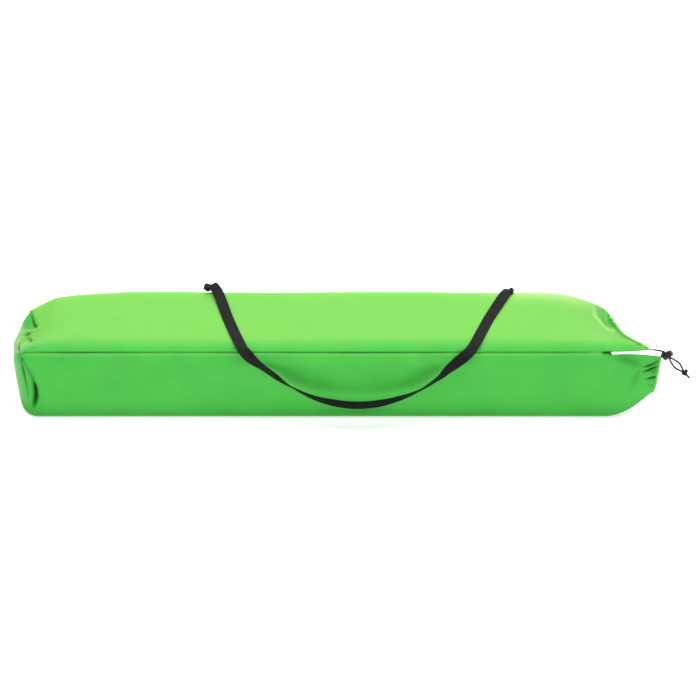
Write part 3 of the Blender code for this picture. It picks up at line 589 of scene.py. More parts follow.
def sag_near_mouth(x, section):
    """How far the cloth drops past the frame's feet: most at the back top edge, nothing at the seam."""
    reach = np.clip((x - SAG_FROM_X) / SAG_RUN, 0.0, 1.2)
    back = smoothstep(-0.115, 0.09, section[:, 0])
    high = smoothstep(0.03, 0.22, section[:, 1])
    return SAG_DEPTH * reach ** 2.4 * back * high


def end_profile(table, count):
    """count (x, scale) places at even steps along a closed-end profile, from the centre outwards."""
    points = np.array(table)
    size = points * (1.0, 0.13)
    run = run_along(size)
    even = np.linspace(0.0, run[-1], count)
    return np.interp(even, run, points[:, 0]), np.interp(even, run, points[:, 1])


def tilted_height(y, z):
    """Height over the bag's middle, measured square to the photograph's slope."""
    return (z - MIDDLE_Z) * TILT_COS + y * TILT_SIN


def skin_grid():
    """Rows of points over the whole bag: the end's centre first, then the tube, then the mouth."""
    section, _ = outline(COLUMNS)
    centre = np.array((0.0, 0.112))
    high = smoothstep(-0.02, 0.13, tilted_height(section[:, 0], section[:, 1]))
    square = []
    for angle in np.linspace(89.9, 0.0, 60):
        turn = math.radians(angle)
        square.append((SQUARE_END_X + (END_X - SQUARE_END_X) * math.sin(turn), math.cos(turn) ** 0.35))
    square_x, square_k = end_profile(square, END_ROWS)
    round_x, round_k = end_profile(ROUND_END, END_ROWS)
    rows = []
    for r in range(END_ROWS - 1):
        x = square_x[r] + (round_x[r] - square_x[r]) * high
        k = square_k[r] + (round_k[r] - square_k[r]) * high
        rows.append(np.column_stack((x, centre + (section - centre) * k[:, None])))
    for row in rows:
        lean = np.interp(tilted_height(row[:, 1], row[:, 2]), *zip(*END_LEAN))
        row[:, 0] += lean * smoothstep(-0.800, -0.855, row[:, 0])
    start = square_x[-1] + (round_x[-1] - square_x[-1]) * high
    for t in tube_shares(TUBE_ROWS):
        x = start * (1 - t) + TUBE_END_X * t
        yz = section.copy()
        yz[:, 1] -= sag_near_mouth(x.mean(), section)
        rows.append(np.column_stack((x, yz)))
    slope = (rows[-1] - rows[-2]) / (rows[-1][:, :1] - rows[-2][:, :1])
    first, hem = rows[-1], hem_points(COLUMNS)
    run = hem[:, :1] - first[:, :1]
    leave = slope * run
    arrive = np.column_stack((run[:, 0], 1.8 * (hem - first)[:, 1], 1.8 * (hem - first)[:, 2]))
    for r in range(1, MOUTH_ROWS + 1):
        t = r / MOUTH_ROWS
        h0 = 2 * t**3 - 3 * t**2 + 1
        h1 = t**3 - 2 * t**2 + t
        h2 = -2 * t**3 + 3 * t**2
        h3 = t**3 - t**2
        row = h0 * first + h1 * leave + h2 * hem + h3 * arrive
        shares = column_shares(COLUMNS)
        side = np.where(shares < 0.5, 1.0, -1.0)
        apart = np.minimum(shares, 1 - shares) * GIRTH
        blunt = smoothstep(0.7260, 0.7330, row[:, 0]) * bell(row[:, 0] - 0.735, 0.045)
        row[:, 2] += (side * SLIT_OPEN - SLIT_DROP) * blunt * np.exp(-apart / 0.022)
        rows.append(row)
    return np.array(rows)


def hem_gathers(grid):
    """Small radial gathers where the drawcord bunches the hem."""
    rows = grid.shape[0]
    reach = np.zeros(rows)
    reach[-MOUTH_ROWS:] = np.linspace(0.0, 1.0, MOUTH_ROWS)
    hem = grid[-1]
    run = run_along(hem)
    wobble = noise_along(run, 24.0, 1.7, 0.3)
    big = noise_along(run, 11.0, 4.2, 9.1)
    fine = np.sin(2 * math.pi * (run / 0.0135 + 0.9 * wobble))
    depth = 0.0016 * fine * (0.6 + 0.8 * np.abs(big)) + 0.0040 * big
    return depth[None, :] * (reach**2.0)[:, None]


def fade_ends(share, sharp=0.5):
    return np.sin(np.clip(share, 0.015, 0.985) * math.pi) ** sharp


def band(points, route, amount, width, power, sharp):
    """The amount on a route, falling away beside it and towards its ends."""
    gap, share = distance_to(points, route)
    return amount * bell(gap, width, power) * fade_ends(share, sharp)


def crease(points, route, depth, width, sharp=0.5):
    """How far a narrow fold line is pressed in along a route; a negative depth is a ridge."""
    return band(points, route, -depth, width, 1.4, sharp)


def overlap(points, route, low_way, depth, wide, narrow, sharp=0.5):
    """A step in the cloth: pressed in on the route's low side, and nearly straight on its other side."""
    gap, share = distance_to(points, route)
    route = np.asarray(route, float)
    lengths = run_along(route)
    nearest = np.stack([np.interp(share * lengths[-1], lengths, route[:, k]) for k in range(3)], axis=-1)
    low = ((points - nearest) @ np.asarray(low_way, float)) > 0.0
    width = np.where(low, wide, narrow)
    return -depth * bell(gap, width, 1.6) * fade_ends(share, sharp)


# The routes of the folds. Most started from places that a helper program cast from the photograph on
# to the skin, and were then moved by hand; report.md names them under "A rule that is broken".
# At the closed end: the front edge and its deep pocket, the crevice beside it, and the dents above the
# end where the spare cloth is tucked in.
FRONT_EDGE = (
    (-0.844, -0.100, 0.206),
    (-0.833, -0.118, 0.198),
    (-0.822, -0.127, 0.188),
    (-0.808, -0.131, 0.150),
    (-0.800, -0.131, 0.109),
    (-0.797, -0.131, 0.078),
    (-0.803, -0.131, 0.050),
    (-0.810, -0.131, 0.021),
)
POCKET = (
    (-0.845, -0.106, 0.204),
    (-0.834, -0.122, 0.190),
    (-0.823, -0.128, 0.170),
    (-0.813, -0.131, 0.147),
    (-0.805, -0.131, 0.109),
    (-0.803, -0.131, 0.078),
    (-0.809, -0.131, 0.050),
    (-0.816, -0.131, 0.022),
)
SIDE_CREVICE = (
    (-0.853, -0.020, 0.176),
    (-0.849, -0.080, 0.198),
    (-0.843, -0.113, 0.197),
    (-0.838, -0.121, 0.156),
    (-0.831, -0.125, 0.104),
    (-0.827, -0.126, 0.070),
)
TOP_CREVICE = (
    (-0.824, 0.078, 0.202),
    (-0.817, 0.045, 0.204),
    (-0.812, 0.020, 0.207),
    (-0.801, 0.000, 0.210),
)
TOP_RIDGE = (
    (-0.848, 0.016, 0.170),
    (-0.836, 0.006, 0.187),
    (-0.824, -0.001, 0.199),
    (-0.799, -0.002, 0.212),
    (-0.790, 0.004, 0.215),
)
TOP_FACET = ((-0.834, 0.062, 0.190), (-0.828, 0.034, 0.196), (-0.822, 0.014, 0.202))
TUCK_A = ((-0.834, -0.008, 0.190), (-0.828, -0.012, 0.197), (-0.820, -0.010, 0.203))
TUCK_B = ((-0.830, -0.022, 0.199), (-0.822, -0.038, 0.205), (-0.812, -0.060, 0.212))
# A painted shade patch at the closed end's left tip.
LEFT_TIP = ((-0.864, -0.010, 0.150), (-0.858, -0.040, 0.170), (-0.852, -0.080, 0.180))
# The strap's shadow painted as shade on the front, a painted highlight along the back top edge, and the folds
# at the mouth with their painted shade and highlights.
UNDER_STRAP = ((-0.040, -0.131, 0.030), (0.050, -0.131, 0.024), (0.170, -0.131, 0.030))
BACK_EDGE_HIGHLIGHT = ((0.40, 0.125, 0.232), (0.50, 0.123, 0.228), (0.60, 0.115, 0.215), (0.69, 0.100, 0.196))
TONGUE_EDGE = ((0.752, -0.040, 0.228), (0.776, -0.060, 0.236), (0.812, -0.096, 0.238), (0.836, -0.116, 0.238))
FAR_RIDGE = (
    (0.693, 0.100, 0.200),
    (0.697, 0.056, 0.205),
    (0.708, 0.033, 0.200),
    (0.734, -0.011, 0.211),
    (0.752, -0.040, 0.226),
)
GATHERS = (
    ((0.859, -0.133, 0.206), (0.848, -0.133, 0.197), (0.836, -0.133, 0.190), (0.824, -0.133, 0.186)),
    ((0.859, -0.134, 0.190), (0.848, -0.134, 0.181), (0.836, -0.133, 0.173), (0.822, -0.133, 0.168)),
    ((0.858, -0.133, 0.176), (0.850, -0.133, 0.170), (0.842, -0.133, 0.166)),
    ((0.857, -0.132, 0.149), (0.846, -0.132, 0.145), (0.832, -0.131, 0.142)),
    ((0.852, -0.127, 0.118), (0.842, -0.126, 0.118), (0.832, -0.125, 0.120)),
    ((0.846, -0.116, 0.088), (0.834, -0.114, 0.090), (0.820, -0.113, 0.094)),
)
GATHER_DEPTHS = (0.0060, 0.0062, 0.0034, 0.0060, 0.0036, 0.0030)
GATHER_SHADES = (0.80, 0.90, 0.50, 0.85, 0.40, 0.30)
SOFT_VALLEY = ((0.814, -0.133, 0.182), (0.802, -0.132, 0.147), (0.790, -0.132, 0.110))
SLIT_SHADE = ((0.748, -0.125, 0.214), (0.785, -0.129, 0.205), (0.812, -0.132, 0.192))


def fold_lift(points):
    """The folds' lift, and at each point painted shade inside a fold, the painted top light withheld where
    the cloth turns from the sun, and painted highlights on ridges and lit edges.
    """
    edge_gap, edge_share = distance_to(points, POCKET)
    deep = 0.35 + 0.65 * smoothstep(0.40, 0.62, edge_share) * (1 - smoothstep(0.80, 0.97, edge_share))
    towards_end = (-1.0, 0.0, 0.0)
    pocket = overlap(points, POCKET, towards_end, 0.017, 0.0105, 0.0028, 0.35) * deep
    lift = pocket
    lift += crease(points, FRONT_EDGE, -0.0020, 0.0045)
    lift += overlap(points, SIDE_CREVICE, (1.0, -0.2, 0.0), 0.0050, 0.0080, 0.0022)
    lift += overlap(points, TOP_CREVICE, towards_end, 0.0110, 0.0170, 0.0028, 0.4)
    lift += crease(points, TOP_RIDGE, -0.0050, 0.0038)
    lift += crease(points, TUCK_A, 0.0060, 0.0036)
    lift += overlap(points, TUCK_B, (0.3, -1.0, 0.0), 0.0050, 0.0100, 0.0025)
    lift += crease(points, FAR_RIDGE, -0.0060, 0.0060)
    for route, depth in zip(GATHERS, GATHER_DEPTHS):
        lift += crease(points, route, depth, 0.0042, 0.3)
    lift += crease(points, SOFT_VALLEY, 0.0040, 0.0110)
    lift += crease(points, SLIT_SHADE, 0.0050, 0.0110)

    # Painted shade deep in the pocket. Past the far ridge the painted top light is withheld, with a faint
    # painted shade.
    shade = deep**0.8 * bell(edge_gap, 0.0072, 2.4) * fade_ends(edge_share, 0.35)
    ridge_y = [y for _, y, _ in reversed(FAR_RIDGE)]
    ridge_x = [x for x, _, _ in reversed(FAR_RIDGE)]
    beyond = points[..., 0] - np.interp(points[..., 1], ridge_y, ridge_x)
    turn = smoothstep(0.004, 0.012, beyond) * smoothstep(-0.055, -0.030, points[..., 1])
    turn *= 0.75 * smoothstep(0.62, 0.67, points[..., 0]) * (points[..., 2] > 0.10)
    shade = np.maximum(shade, 0.02 * turn)
    # The facet by the top crevice also has the painted top light withheld.
    gap, _ = distance_to(points, TOP_FACET)
    turn = np.maximum(turn, bell(gap, 0.0190, 4))
    # Painted highlights on the ridges, the back top edge and the tongue's edge.
    light = np.zeros(shade.shape)
    for route, width, amount in (
        (FAR_RIDGE, 0.0065, 0.60),
        (TOP_RIDGE, 0.0034, 0.50),
        (BACK_EDGE_HIGHLIGHT, 0.0340, 0.85),
        (TONGUE_EDGE, 0.0100, 0.45),
    ):
        light = np.maximum(light, band(points, route, amount, width, 2, 0.6))
    # Painted shade in the creases and tucks, on the facet, by the slit and at the left tip, and the strap's
    # painted shadow.
    for route, width, amount in (
        (SIDE_CREVICE, 0.0030, 0.75),
        (TOP_CREVICE, 0.0034, 0.90),
        (TOP_FACET, 0.0170, 0.12),
        (TUCK_A, 0.0042, 0.75),
        (TUCK_B, 0.0040, 0.60),
        (SLIT_SHADE, 0.0140, 0.34),
        (SOFT_VALLEY, 0.0080, 0.18),
        (LEFT_TIP, 0.0120, 0.30),
        (UNDER_STRAP, 0.0150, 0.38),
    ):
        shade = np.maximum(shade, band(points, route, amount, width, 2, 0.4))
    # Painted shade in the hem's gathers.
    for route, amount in zip(GATHERS, GATHER_SHADES):
        shade = np.maximum(shade, band(points, route, amount, 0.0046, 2, 0.3))
    return lift, shade, turn, light


def make_skin():
    grid = skin_grid()
    normal = normals_of(grid)
    centre = np.array((0.0, 0.0, MIDDLE_Z))
    on_tube = (200, 60)
    if ((grid[on_tube] - centre) * normal[on_tube])[1:].sum() < 0:
        normal = -normal
    # Nothing moves on the flat underside, and the rest of the tube has slow swells.
    floor = smoothstep(0.010, 0.040, grid[..., 2])
    slow = swell(grid, (4.5, 9.0, 9.0), 1)
    fast = swell(grid, (14.0, 22.0, 22.0), 2)
    lift = (0.0030 * slow + 0.0009 * fast) * floor
    lift += hem_gathers(grid) * smoothstep(0.002, 0.02, grid[..., 2])
    folds, shade, turn, light = fold_lift(grid)
    lift += folds
    # The sewn seam pulls the cloth in along its line, with small puckers beside it.
    shares = column_shares(COLUMNS)
    girth = outline(COLUMNS)[1]
    across = np.minimum(shares, 1 - shares) * girth
    along = grid[..., 0]
    pinch = -0.0060 * bell(across, 0.0026) - 0.0012 * bell(across, 0.010)
    pinch += 0.0011 * bell(across - 0.0062, 0.0030) * (shares > 0.5)
    pucker = np.sin(along * 2 * math.pi / 0.012 + 3.0 * slow) * bell(across - 0.006, 0.006)
    tube = smoothstep(-0.845, -0.825, along) * (1 - smoothstep(0.70, 0.73, along))
    lift += (pinch[None, :] + 0.0004 * pucker) * tube
    # A painted shade line along the seam, fainter for a short stretch before the mouth, and a painted dark
    # notch where the seam meets the slit.
    loose = 1.0 - 0.85 * smoothstep(0.672, 0.684, along) * (1 - smoothstep(0.702, 0.710, along))
    seam_line = bell(across, 0.0027, 3.0)[None, :] * tube * loose
    notch = bell(along - 0.7215, 0.0130, 4) * bell(across, 0.0046)[None, :]
    shade = np.maximum(shade, np.maximum(0.97 * seam_line, notch))
    # Painted shade on the front panel, darker towards the bottom where less light reaches.
    front = (shares > 0.5)[None, :]
    shade = np.maximum(shade, 0.22 * (1 - smoothstep(0.000, 0.075, grid[..., 2])) * front)
    # A painted highlight on the strip just below the seam.
    strip = bell(across - 0.0066, 0.0034)[None, :] * front * tube
    light = np.maximum(light, 0.16 * strip)
    grid = grid + normal * lift[..., None]
    grid[..., 2] = np.maximum(grid[..., 2], 0.0004)
    rows = grid.shape[0]
    # The tube's rows are closed at the seam; the mouth's rows stay open along the slit.
    tube_rows = rows - MOUTH_ROWS
    seam = 0.5 * (grid[:tube_rows, 0] + grid[:tube_rows, -1])
    grid[:tube_rows, 0] = seam
    grid[:tube_rows, -1] = seam
    uvs = np.stack((grid[..., 0], np.broadcast_to(shares * girth, grid.shape[:2])), axis=-1)
    faces = grid_faces(rows, COLUMNS)
    obj = mesh_piece("bag_skin", grid.reshape(-1, 3), faces, GREEN, uvs.reshape(-1, 2))
    # Painted shade, the painted top light withheld, and painted highlights, kept as point attributes for the
    # cloth's colour.
    for key, values in (("fold_shade", shade), ("fold_turn", turn), ("fold_light", light)):
        layer = obj.data.attributes.new(key, "FLOAT", "POINT")
        layer.data.foreach_set("value", np.clip(values, 0.0, 1.0).ravel().astype(np.float32))
    weld_seam(obj)
    solid = obj.modifiers.new("Cloth", "SOLIDIFY")
    solid.thickness = CLOTH
    solid.offset = -1.0
    return obj, grid


def weld_seam(obj):
    """Joins the tube's first and last columns, and closes the end at its centre."""
    bm = bmesh.new()
    bm.from_mesh(obj.data)
    bmesh.ops.remove_doubles(bm, verts=bm.verts, dist=0.00005)
    rim = [e for e in bm.edges if e.is_boundary and all(v.co.x < END_X + 0.02 for v in e.verts)]
    if rim:
        bmesh.ops.holes_fill(bm, edges=rim, sides=0)
    bmesh.ops.recalc_face_normals(bm, faces=bm.faces)
    middle = [f for f in bm.faces if abs(f.calc_center_median().x) < 0.02]
    top = max(middle, key=lambda f: f.calc_center_median().z)
    if top.normal.z < 0:
        bmesh.ops.reverse_faces(bm, faces=bm.faces)
    bm.to_mesh(obj.data)
    bm.free()
    for polygon in obj.data.polygons:
        polygon.use_smooth = True


SKIN, SKIN_GRID = make_skin()
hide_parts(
    "bag_top_panel",
    "bag_back_panel",
    "bag_bottom_panel",
    "bag_front_panel",
    "bag_end_panel",
    "bag_mouth",
)
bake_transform(SKIN)


# --- the carry strap ---
def strap_frames(count):
    """Centre points and width directions of the webbing, from its left seam to its right."""
    # Most of these places were solved from the photograph by a helper program, then moved by hand;
    # report.md says so under "A rule that is broken".
    stations = (  # point, direction of the webbing's width
        ((-0.343, 0.129, 0.230), (1.00, 0.00, 0.00)),
        ((-0.341, 0.128, 0.244), (1.00, 0.05, 0.00)),
        ((-0.336, 0.126, 0.2515), (1.00, 0.10, 0.00)),
        ((-0.317, 0.099, 0.246), (1.00, 0.30, 0.00)),
        ((-0.288, -0.004, 0.241), (1.00, 0.38, 0.00)),
        ((-0.254, -0.109, 0.241), (1.00, 0.40, 0.00)),
        ((-0.244, -0.130, 0.239), (0.93, 0.25, 0.15)),
        ((-0.226, -0.138, 0.221), (0.80, 0.42, -0.20)),
        ((-0.198, -0.145, 0.199), (0.58, 0.62, -0.46)),
        ((-0.158, -0.153, 0.168), (0.50, 0.65, -0.50)),
        ((-0.119, -0.159, 0.138), (0.15, 0.74, -0.66)),
        ((-0.062, -0.162, 0.104), (0.05, 0.90, -0.35)),
        ((-0.003, -0.166, 0.087), (0.00, 1.00, -0.05)),
        ((0.056, -0.167, 0.080), (0.00, 1.00, 0.00)),
        ((0.117, -0.166, 0.086), (0.00, 1.00, -0.05)),
        ((0.176, -0.162, 0.103), (-0.05, 0.90, -0.30)),
        ((0.224, -0.160, 0.128), (-0.15, 0.76, -0.60)),
        ((0.271, -0.155, 0.165), (-0.38, 0.68, -0.56)),
        ((0.297, -0.149, 0.191), (-0.70, 0.52, -0.42)),
        ((0.325, -0.142, 0.214), (-0.85, 0.35, -0.15)),
        ((0.353, -0.130, 0.235), (-0.95, 0.22, 0.18)),
        ((0.371, -0.099, 0.241), (-1.00, 0.40, 0.00)),
        ((0.409, 0.001, 0.241), (-1.00, 0.46, 0.00)),
        ((0.450, 0.091, 0.2430), (-1.00, 0.35, 0.00)),
        ((0.462, 0.112, 0.2410), (-1.00, 0.20, 0.00)),
        ((0.465, 0.125, 0.2360), (-1.00, 0.10, 0.00)),
        ((0.466, 0.131, 0.2270), (-1.00, 0.00, 0.00)),
    )
    line = smooth_path([point for point, _ in stations], count)
    points = np.array([point for point, _ in stations])
    widths = np.array([width for _, width in stations])
    run = run_along(points)
    done = run_along(line)
    done *= run[-1] / done[-1]
    across = np.stack([np.interp(done, run, widths[:, k]) for k in range(3)], axis=1)
    way = np.gradient(line, axis=0)
    way /= np.linalg.norm(way, axis=1, keepdims=True)
    across -= way * (across * way).sum(axis=1, keepdims=True)
    across /= np.linalg.norm(across, axis=1, keepdims=True)
    return line, across, np.cross(way, across), done


def make_strap():
    """Webbing with rounded selvedges, swept along its route."""
    count, around = 320, 28
    line, across, up, done = strap_frames(count)
    half, thick = STRAP_WIDTH / 2, STRAP_THICK / 2
    profile = []
    for k in range(around):
        turn = 2 * math.pi * k / around
        c, s = math.cos(turn), math.sin(turn)
        profile.append((half * math.copysign(abs(c) ** 0.35, c), thick * math.copysign(abs(s) ** 0.55, s)))
    verts, uvs = [], []
    for n in range(count):
        for a, b in profile:
            verts.append(line[n] + across[n] * a + up[n] * b)
            uvs.append((done[n], a))
    faces = grid_faces(count, around, close=True)
    faces += end_caps(count, around)
    obj = mesh_piece("strap_webbing", verts, faces, STRAP, uvs)
    return outward_faces(obj)


def make_roll(name, centre, way, size, coils):
    """The strap's end, rolled up on itself where it is sewn to the bag."""
    outer, inner = [], []
    for k in range(41):
        turns = coils * k / 40
        radius, angle = size - 0.0026 * turns, 2 * math.pi * turns
        for ring, r in ((outer, radius), (inner, radius - STRAP_THICK)):
            ring.append((way * r * math.cos(angle), r * math.sin(angle)))
    profile = outer + inner[::-1]
    verts, uvs = [], []
    for n in range(9):
        along = -math.cos(math.pi * n / 8)
        for m, (a, b) in enumerate(profile):
            verts.append(centre + Vector((a, 0.0085 * along, b)))
            uvs.append((m * 0.001, 0.0085 * along))
    faces = grid_faces(9, len(profile), close=True)
    faces += end_caps(9, len(profile))
    obj = mesh_piece(name, verts, faces, STRAP, uvs)
    return outward_faces(obj)


for roll_name, roll_centre, roll_way, roll_size, roll_coils in (
    ("strap_roll_left", Vector((-0.3455, 0.1190, 0.2470)), -1, 0.0088, 2.0),
    ("strap_roll_right", Vector((0.4700, 0.1120, 0.2415)), 1, 0.0060, 1.2),
):
    roll = make_roll(roll_name, roll_centre, roll_way, roll_size, roll_coils)
    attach(roll, "strap")

WEBBING = make_strap()
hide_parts("carry_strap")
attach(WEBBING, "strap")


# --- the drawcord, its lock and its knot ---
def tube_mesh(name, path, radius, material, around=12, twist=0.0, ridge=0.0):
    """A closed tube along a path, with a slight braid in its surface."""
    path = np.asarray(path, float)
    way = np.gradient(path, axis=0)
    way /= np.linalg.norm(way, axis=1, keepdims=True)
    side = np.cross(way[0], (0.0, 1.0, 0.0))
    if np.linalg.norm(side) < 0.2:
        side = np.cross(way[0], (0.0, 0.0, 1.0))
    side /= np.linalg.norm(side)
    radii = np.broadcast_to(np.asarray(radius, float), len(path))
    verts, uvs = [], []
    run = 0.0
    for n, (point, w) in enumerate(zip(path, way)):
        side = side - w * side.dot(w)
        side /= np.linalg.norm(side)
        up = np.cross(w, side)
        if n:
            run += np.linalg.norm(point - path[n - 1])
        for k in range(around):
            turn = 2 * math.pi * k / around
            braid = math.sin(3 * turn + twist * run) * math.sin(3 * turn - twist * run)
            size = radii[n] * (1 + ridge * braid)
            verts.append(point + size * (side * math.cos(turn) + up * math.sin(turn)))
            uvs.append((run, 0.12 + radii[n] * turn))
    faces = grid_faces(len(path), around, close=True)
    faces += end_caps(len(path), around)
    obj = mesh_piece(name, verts, faces, material, uvs)
    return outward_faces(obj)


def cord_mesh(name, path, radius):
    """A length of the braided drawcord."""
    return tube_mesh(name, path, radius, CORD, 12, BRAID_TWIST, BRAID_RIDGE)


def loop_route():
    """The cord's way through the lock, round the hem, and back through the lock."""
    hem = SKIN_GRID[-1]
    inner = SKIN_GRID[-4]
    step = 6
    way = np.gradient(hem, axis=0)
    way /= np.linalg.norm(way, axis=1, keepdims=True)
    beyond = hem - inner
    beyond -= way * (beyond * way).sum(axis=1, keepdims=True)
    beyond /= np.linalg.norm(beyond, axis=1, keepdims=True)
    ring = (hem + beyond * 0.0004)[step:-step:step]
    entry = LOCK_CENTRE - CORD_WAY * (LOCK_R + LOCK_GAP)
    above = entry - CORD_WAY * 0.006
    first = [LOCK_EXIT + CORD_SIDE, entry + CORD_SIDE, above + CORD_SIDE]
    return [*first, *map(Vector, ring), above - CORD_SIDE, entry - CORD_SIDE, LOCK_EXIT - CORD_SIDE]


def loop_radius(path):
    """The cord's full radius near the lock, and a little less where the hem's casing grips it."""
    run = run_along(path)
    near = np.minimum(run, run[-1] - run)
    return CORD_R - 0.0010 * smoothstep(0.050, 0.067, near)


LOOP_PATH = smooth_path(loop_route(), 420)
LOOP = cord_mesh("drawcord_in_hem", LOOP_PATH, loop_radius(LOOP_PATH))
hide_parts("drawcord_loop")
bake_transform(LOOP)


def make_hem_casing():
    """The hem's folded channel, gathered along the cord inside it."""
    ring = loop_route()[3:-3]
    path = smooth_path(ring, 620) - np.array((0.0012, 0.0, 0.0004))
    run = run_along(path)
    wobble = noise_along(run, 31.0, 2.2, 7.7)
    radius = 0.0032 + 0.00035 * np.sin(2 * math.pi * (run / 0.0085 + 0.8 * wobble)) + 0.0004 * wobble
    radius *= smoothstep(0.0, 0.02, run) * 0.35 + 0.65
    radius *= (1 - smoothstep(run[-1] - 0.02, run[-1], run)) * 0.35 + 0.65
    return tube_mesh("mouth_hem", path, radius, LIT_HEM_GREEN, 20)


CASING = make_hem_casing()
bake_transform(CASING)


def tail_route(letter):
    reach = KNOT_CENTRE - LOCK_EXIT
    bow = {"a": Vector((-0.006, -0.002, -0.004)), "b": Vector((0.006, 0.002, 0.003))}[letter]
    stop = {"a": KNOT_R * 1.25 + 0.0012, "b": KNOT_R * 0.5}[letter]
    spread_out = {"a": 1.6, "b": 0.5}[letter]
    offset = CORD_SIDE * (-1 if letter == "a" else 1)
    start = LOCK_EXIT + offset
    return [
        start,
        start + reach * 0.25 + bow * 0.7,
        start + reach * 0.55 + bow,
        KNOT_CENTRE - CORD_WAY * stop + offset * spread_out,
    ]


def make_knot():
    """One closed, knotted turn of cord that stands for the knot in both strands."""
    points = []
    turn_way = Vector((0, 0, 1)).rotation_difference(CORD_WAY).to_matrix()
    for k in range(90):
        t = 2 * math.pi * k / 89
        a = 0.0031 * (math.sin(t) + 1.35 * math.sin(2 * t))
        b = 0.0031 * (math.cos(t) - 1.35 * math.cos(2 * t))
        c = 0.0036 * math.sin(3 * t)
        points.append(KNOT_CENTRE + turn_way @ Vector((a, b, c)) * 1.15)
    return cord_mesh("drawcord_knot", points, CORD_R * 1.1)


KNOT = make_knot()
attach(KNOT, "bag_top")
for n, tip in enumerate((Vector((0.013, -0.003, -0.017)), Vector((0.010, 0.004, -0.019)))):
    middle = KNOT_CENTRE + tip * 0.5 + Vector((0.001, 0, 0))
    points = smooth_path([KNOT_CENTRE + tip * 0.1, middle, KNOT_CENTRE + tip], 12)
    end = cord_mesh("drawcord_tip_" + "ab"[n], points, CORD_R)
    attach(end, "bag_top")
for letter in "ab":
    route = smooth_path(tail_route(letter), 40)
    tail = cord_mesh("drawcord_tail_" + letter, route, CORD_R)
    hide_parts("drawcord_end_" + letter)
    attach(tail, "bag_top")


# --- the folded roof cloth ---
def rounded_ring(half_y, half_z, power, count):
    """(y, z) points of a square with soft corners."""
    turns = np.linspace(0.0, 2 * math.pi, count, endpoint=False)
    c, s = np.cos(turns), np.sin(turns)
    size = (np.abs(c) ** power + np.abs(s) ** power) ** (-1 / power)
    return np.column_stack((half_y * c * size, half_z * s * size)), turns


def ring_noise(place, scale, turns):
    """Smooth noise round one ring of the bundle."""
    ring = [Vector((place, math.cos(t) * scale, math.sin(t) * scale)) for t in turns]
    return np.array([noise.noise(point) for point in ring])


def make_roof_bundle():
    """The roof cloth as it lies folded round the frame: a thick sleeve in long, loose pleats."""
    low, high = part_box("roof_cover")
    middle = np.array(((low[1] + high[1]) / 2, (low[2] + high[2]) / 2))
    half = np.array(((high[1] - low[1]) / 2, (high[2] - low[2]) / 2))
    around, along = 300, 170
    rows = []
    outer, turns = rounded_ring(half[0] - 0.0045, half[1] - 0.0040, 7.0, around)
    inner, _ = rounded_ring(half[0] - 0.0225, half[1] - 0.0115, 9.0, around)
    xs = low[0] + 0.004 + (high[0] - low[0] - 0.008) * np.linspace(0.0, 1.0, along)
    for x in xs:
        drift = ring_noise(x * 3.0, 1.6, turns)
        fine = ring_noise(x * 14.0, 9.0, turns)
        pleat = np.abs(np.sin(9.0 * turns + 4.0 * drift)) ** 0.7
        depth = -0.0052 * (1 - pleat) + 0.0018 * drift + 0.0012 * fine
        end = 0.006 * (1 - min(1.0, min(x - xs[0], xs[-1] - x) / 0.012)) ** 2
        size = 1.0 + (depth - end) / 0.115
        rows.append(np.column_stack((np.full(around, x), middle + outer * size[:, None])))
    for x in xs[::-1]:
        rows.append(np.column_stack((np.full(around, x), middle + inner)))
    grid = np.array(rows)
    faces = grid_faces(len(rows), around, close=True)
    last = (len(rows) - 1) * around
    faces += [(last + k, last + (k + 1) % around, (k + 1) % around, k) for k in range(around)]
    run = np.cumsum(np.full(len(rows), 0.006))
    uvs = np.stack(np.meshgrid(0.30 + 0.9 * turns / ONE_TURN, run), axis=-1)[..., ::-1]
    obj = mesh_piece("roof_bundle", grid.reshape(-1, 3), faces, ROOF_GREEN, uvs.reshape(-1, 2))
    return outward_faces(obj)


BUNDLE = make_roof_bundle()
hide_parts("roof_cover")
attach(BUNDLE, "canopy")


# --- materials on the CAD pieces that stay ---
def dress(names, material):
    for name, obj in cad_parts.items():
        if any(name.startswith(start) for start in names):
            for slot in obj.material_slots:
                slot.material = material


dress(("outer_leg", "inner_leg", "under_", "rear_", "upper_", "front_", "centre_pole"), STEEL)
dress(("top_bracket", "slider", "roof_hub"), NYLON)
dress(("latch_knob", "cord_lock_barrel", "cord_lock_plunger"), PLASTIC)
dress(("cord_lock_spring",), WIRE)


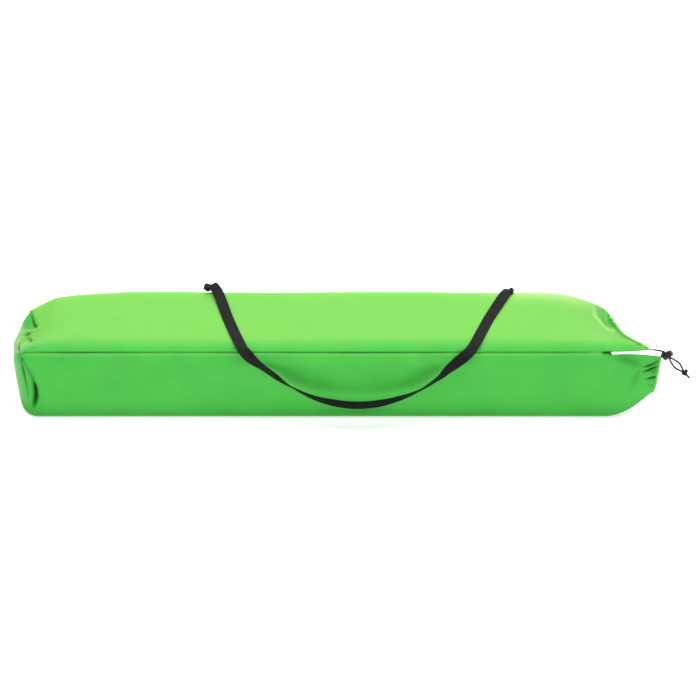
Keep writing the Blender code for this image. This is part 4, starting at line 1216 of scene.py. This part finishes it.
# --- floor, light and camera ---
def make_floor():
    bm = bmesh.new()
    bmesh.ops.create_grid(bm, x_segments=8, y_segments=8, size=14.0)
    mesh = bpy.data.meshes.new("studio_floor")
    bm.to_mesh(mesh)
    bm.free()
    obj = bpy.data.objects.new("studio_floor", mesh)
    bpy.context.collection.objects.link(obj)
    mesh.materials.append(floor_paper("floor_paper"))
    return obj


make_floor()


def area_light(name, place, target, size, power, colour):
    data = bpy.data.lights.new(name, "AREA")
    data.shape = "RECTANGLE"
    data.size, data.size_y = size
    data.energy = power
    data.color = colour
    obj = bpy.data.objects.new(name, data)
    bpy.context.collection.objects.link(obj)
    obj.location = place
    obj.rotation_euler = (Vector(target) - Vector(place)).to_track_quat("-Z", "Y").to_euler()


area_light("top_light", (0.0, 0.5, 3.2), (0.0, 0.0, 0.1), (5.0, 2.6), 150.0, (1.0, 0.97, 0.94))
area_light("front_light", (0.0, -3.4, 1.6), (0.0, 0.0, 0.1), (5.0, 2.2), 78.0, (0.97, 1.0, 1.0))
area_light("rim_light", (0.3, 2.6, 1.5), (0.1, 0.1, 0.2), (4.5, 0.9), 46.0, (1.0, 0.97, 0.93))
world = bpy.data.worlds.new("studio")
world.use_nodes = True
world.node_tree.nodes["Background"].inputs["Color"].default_value = (1.0, 1.0, 1.0, 1.0)
world.node_tree.nodes["Background"].inputs["Strength"].default_value = 0.80
bpy.context.scene.world = world
bpy.context.scene.view_settings.view_transform = "Standard"


def make_camera():
    data = bpy.data.cameras.new("photo_view")
    data.sensor_width = 36.0
    data.lens = data.sensor_width * VIEW_DISTANCE / VIEW_WIDTH
    camera = bpy.data.objects.new("photo_view", data)
    bpy.context.collection.objects.link(camera)
    back = Vector((0, -math.cos(VIEW_ELEVATION), math.sin(VIEW_ELEVATION)))
    up = Vector((0, math.sin(VIEW_ELEVATION), math.cos(VIEW_ELEVATION)))
    target = VIEW_TARGET + up * VIEW_LIFT
    camera.location = target + back * VIEW_DISTANCE
    camera.rotation_euler = (-back).to_track_quat("-Z", "Y").to_euler()
    bpy.context.scene.camera = camera


make_camera()
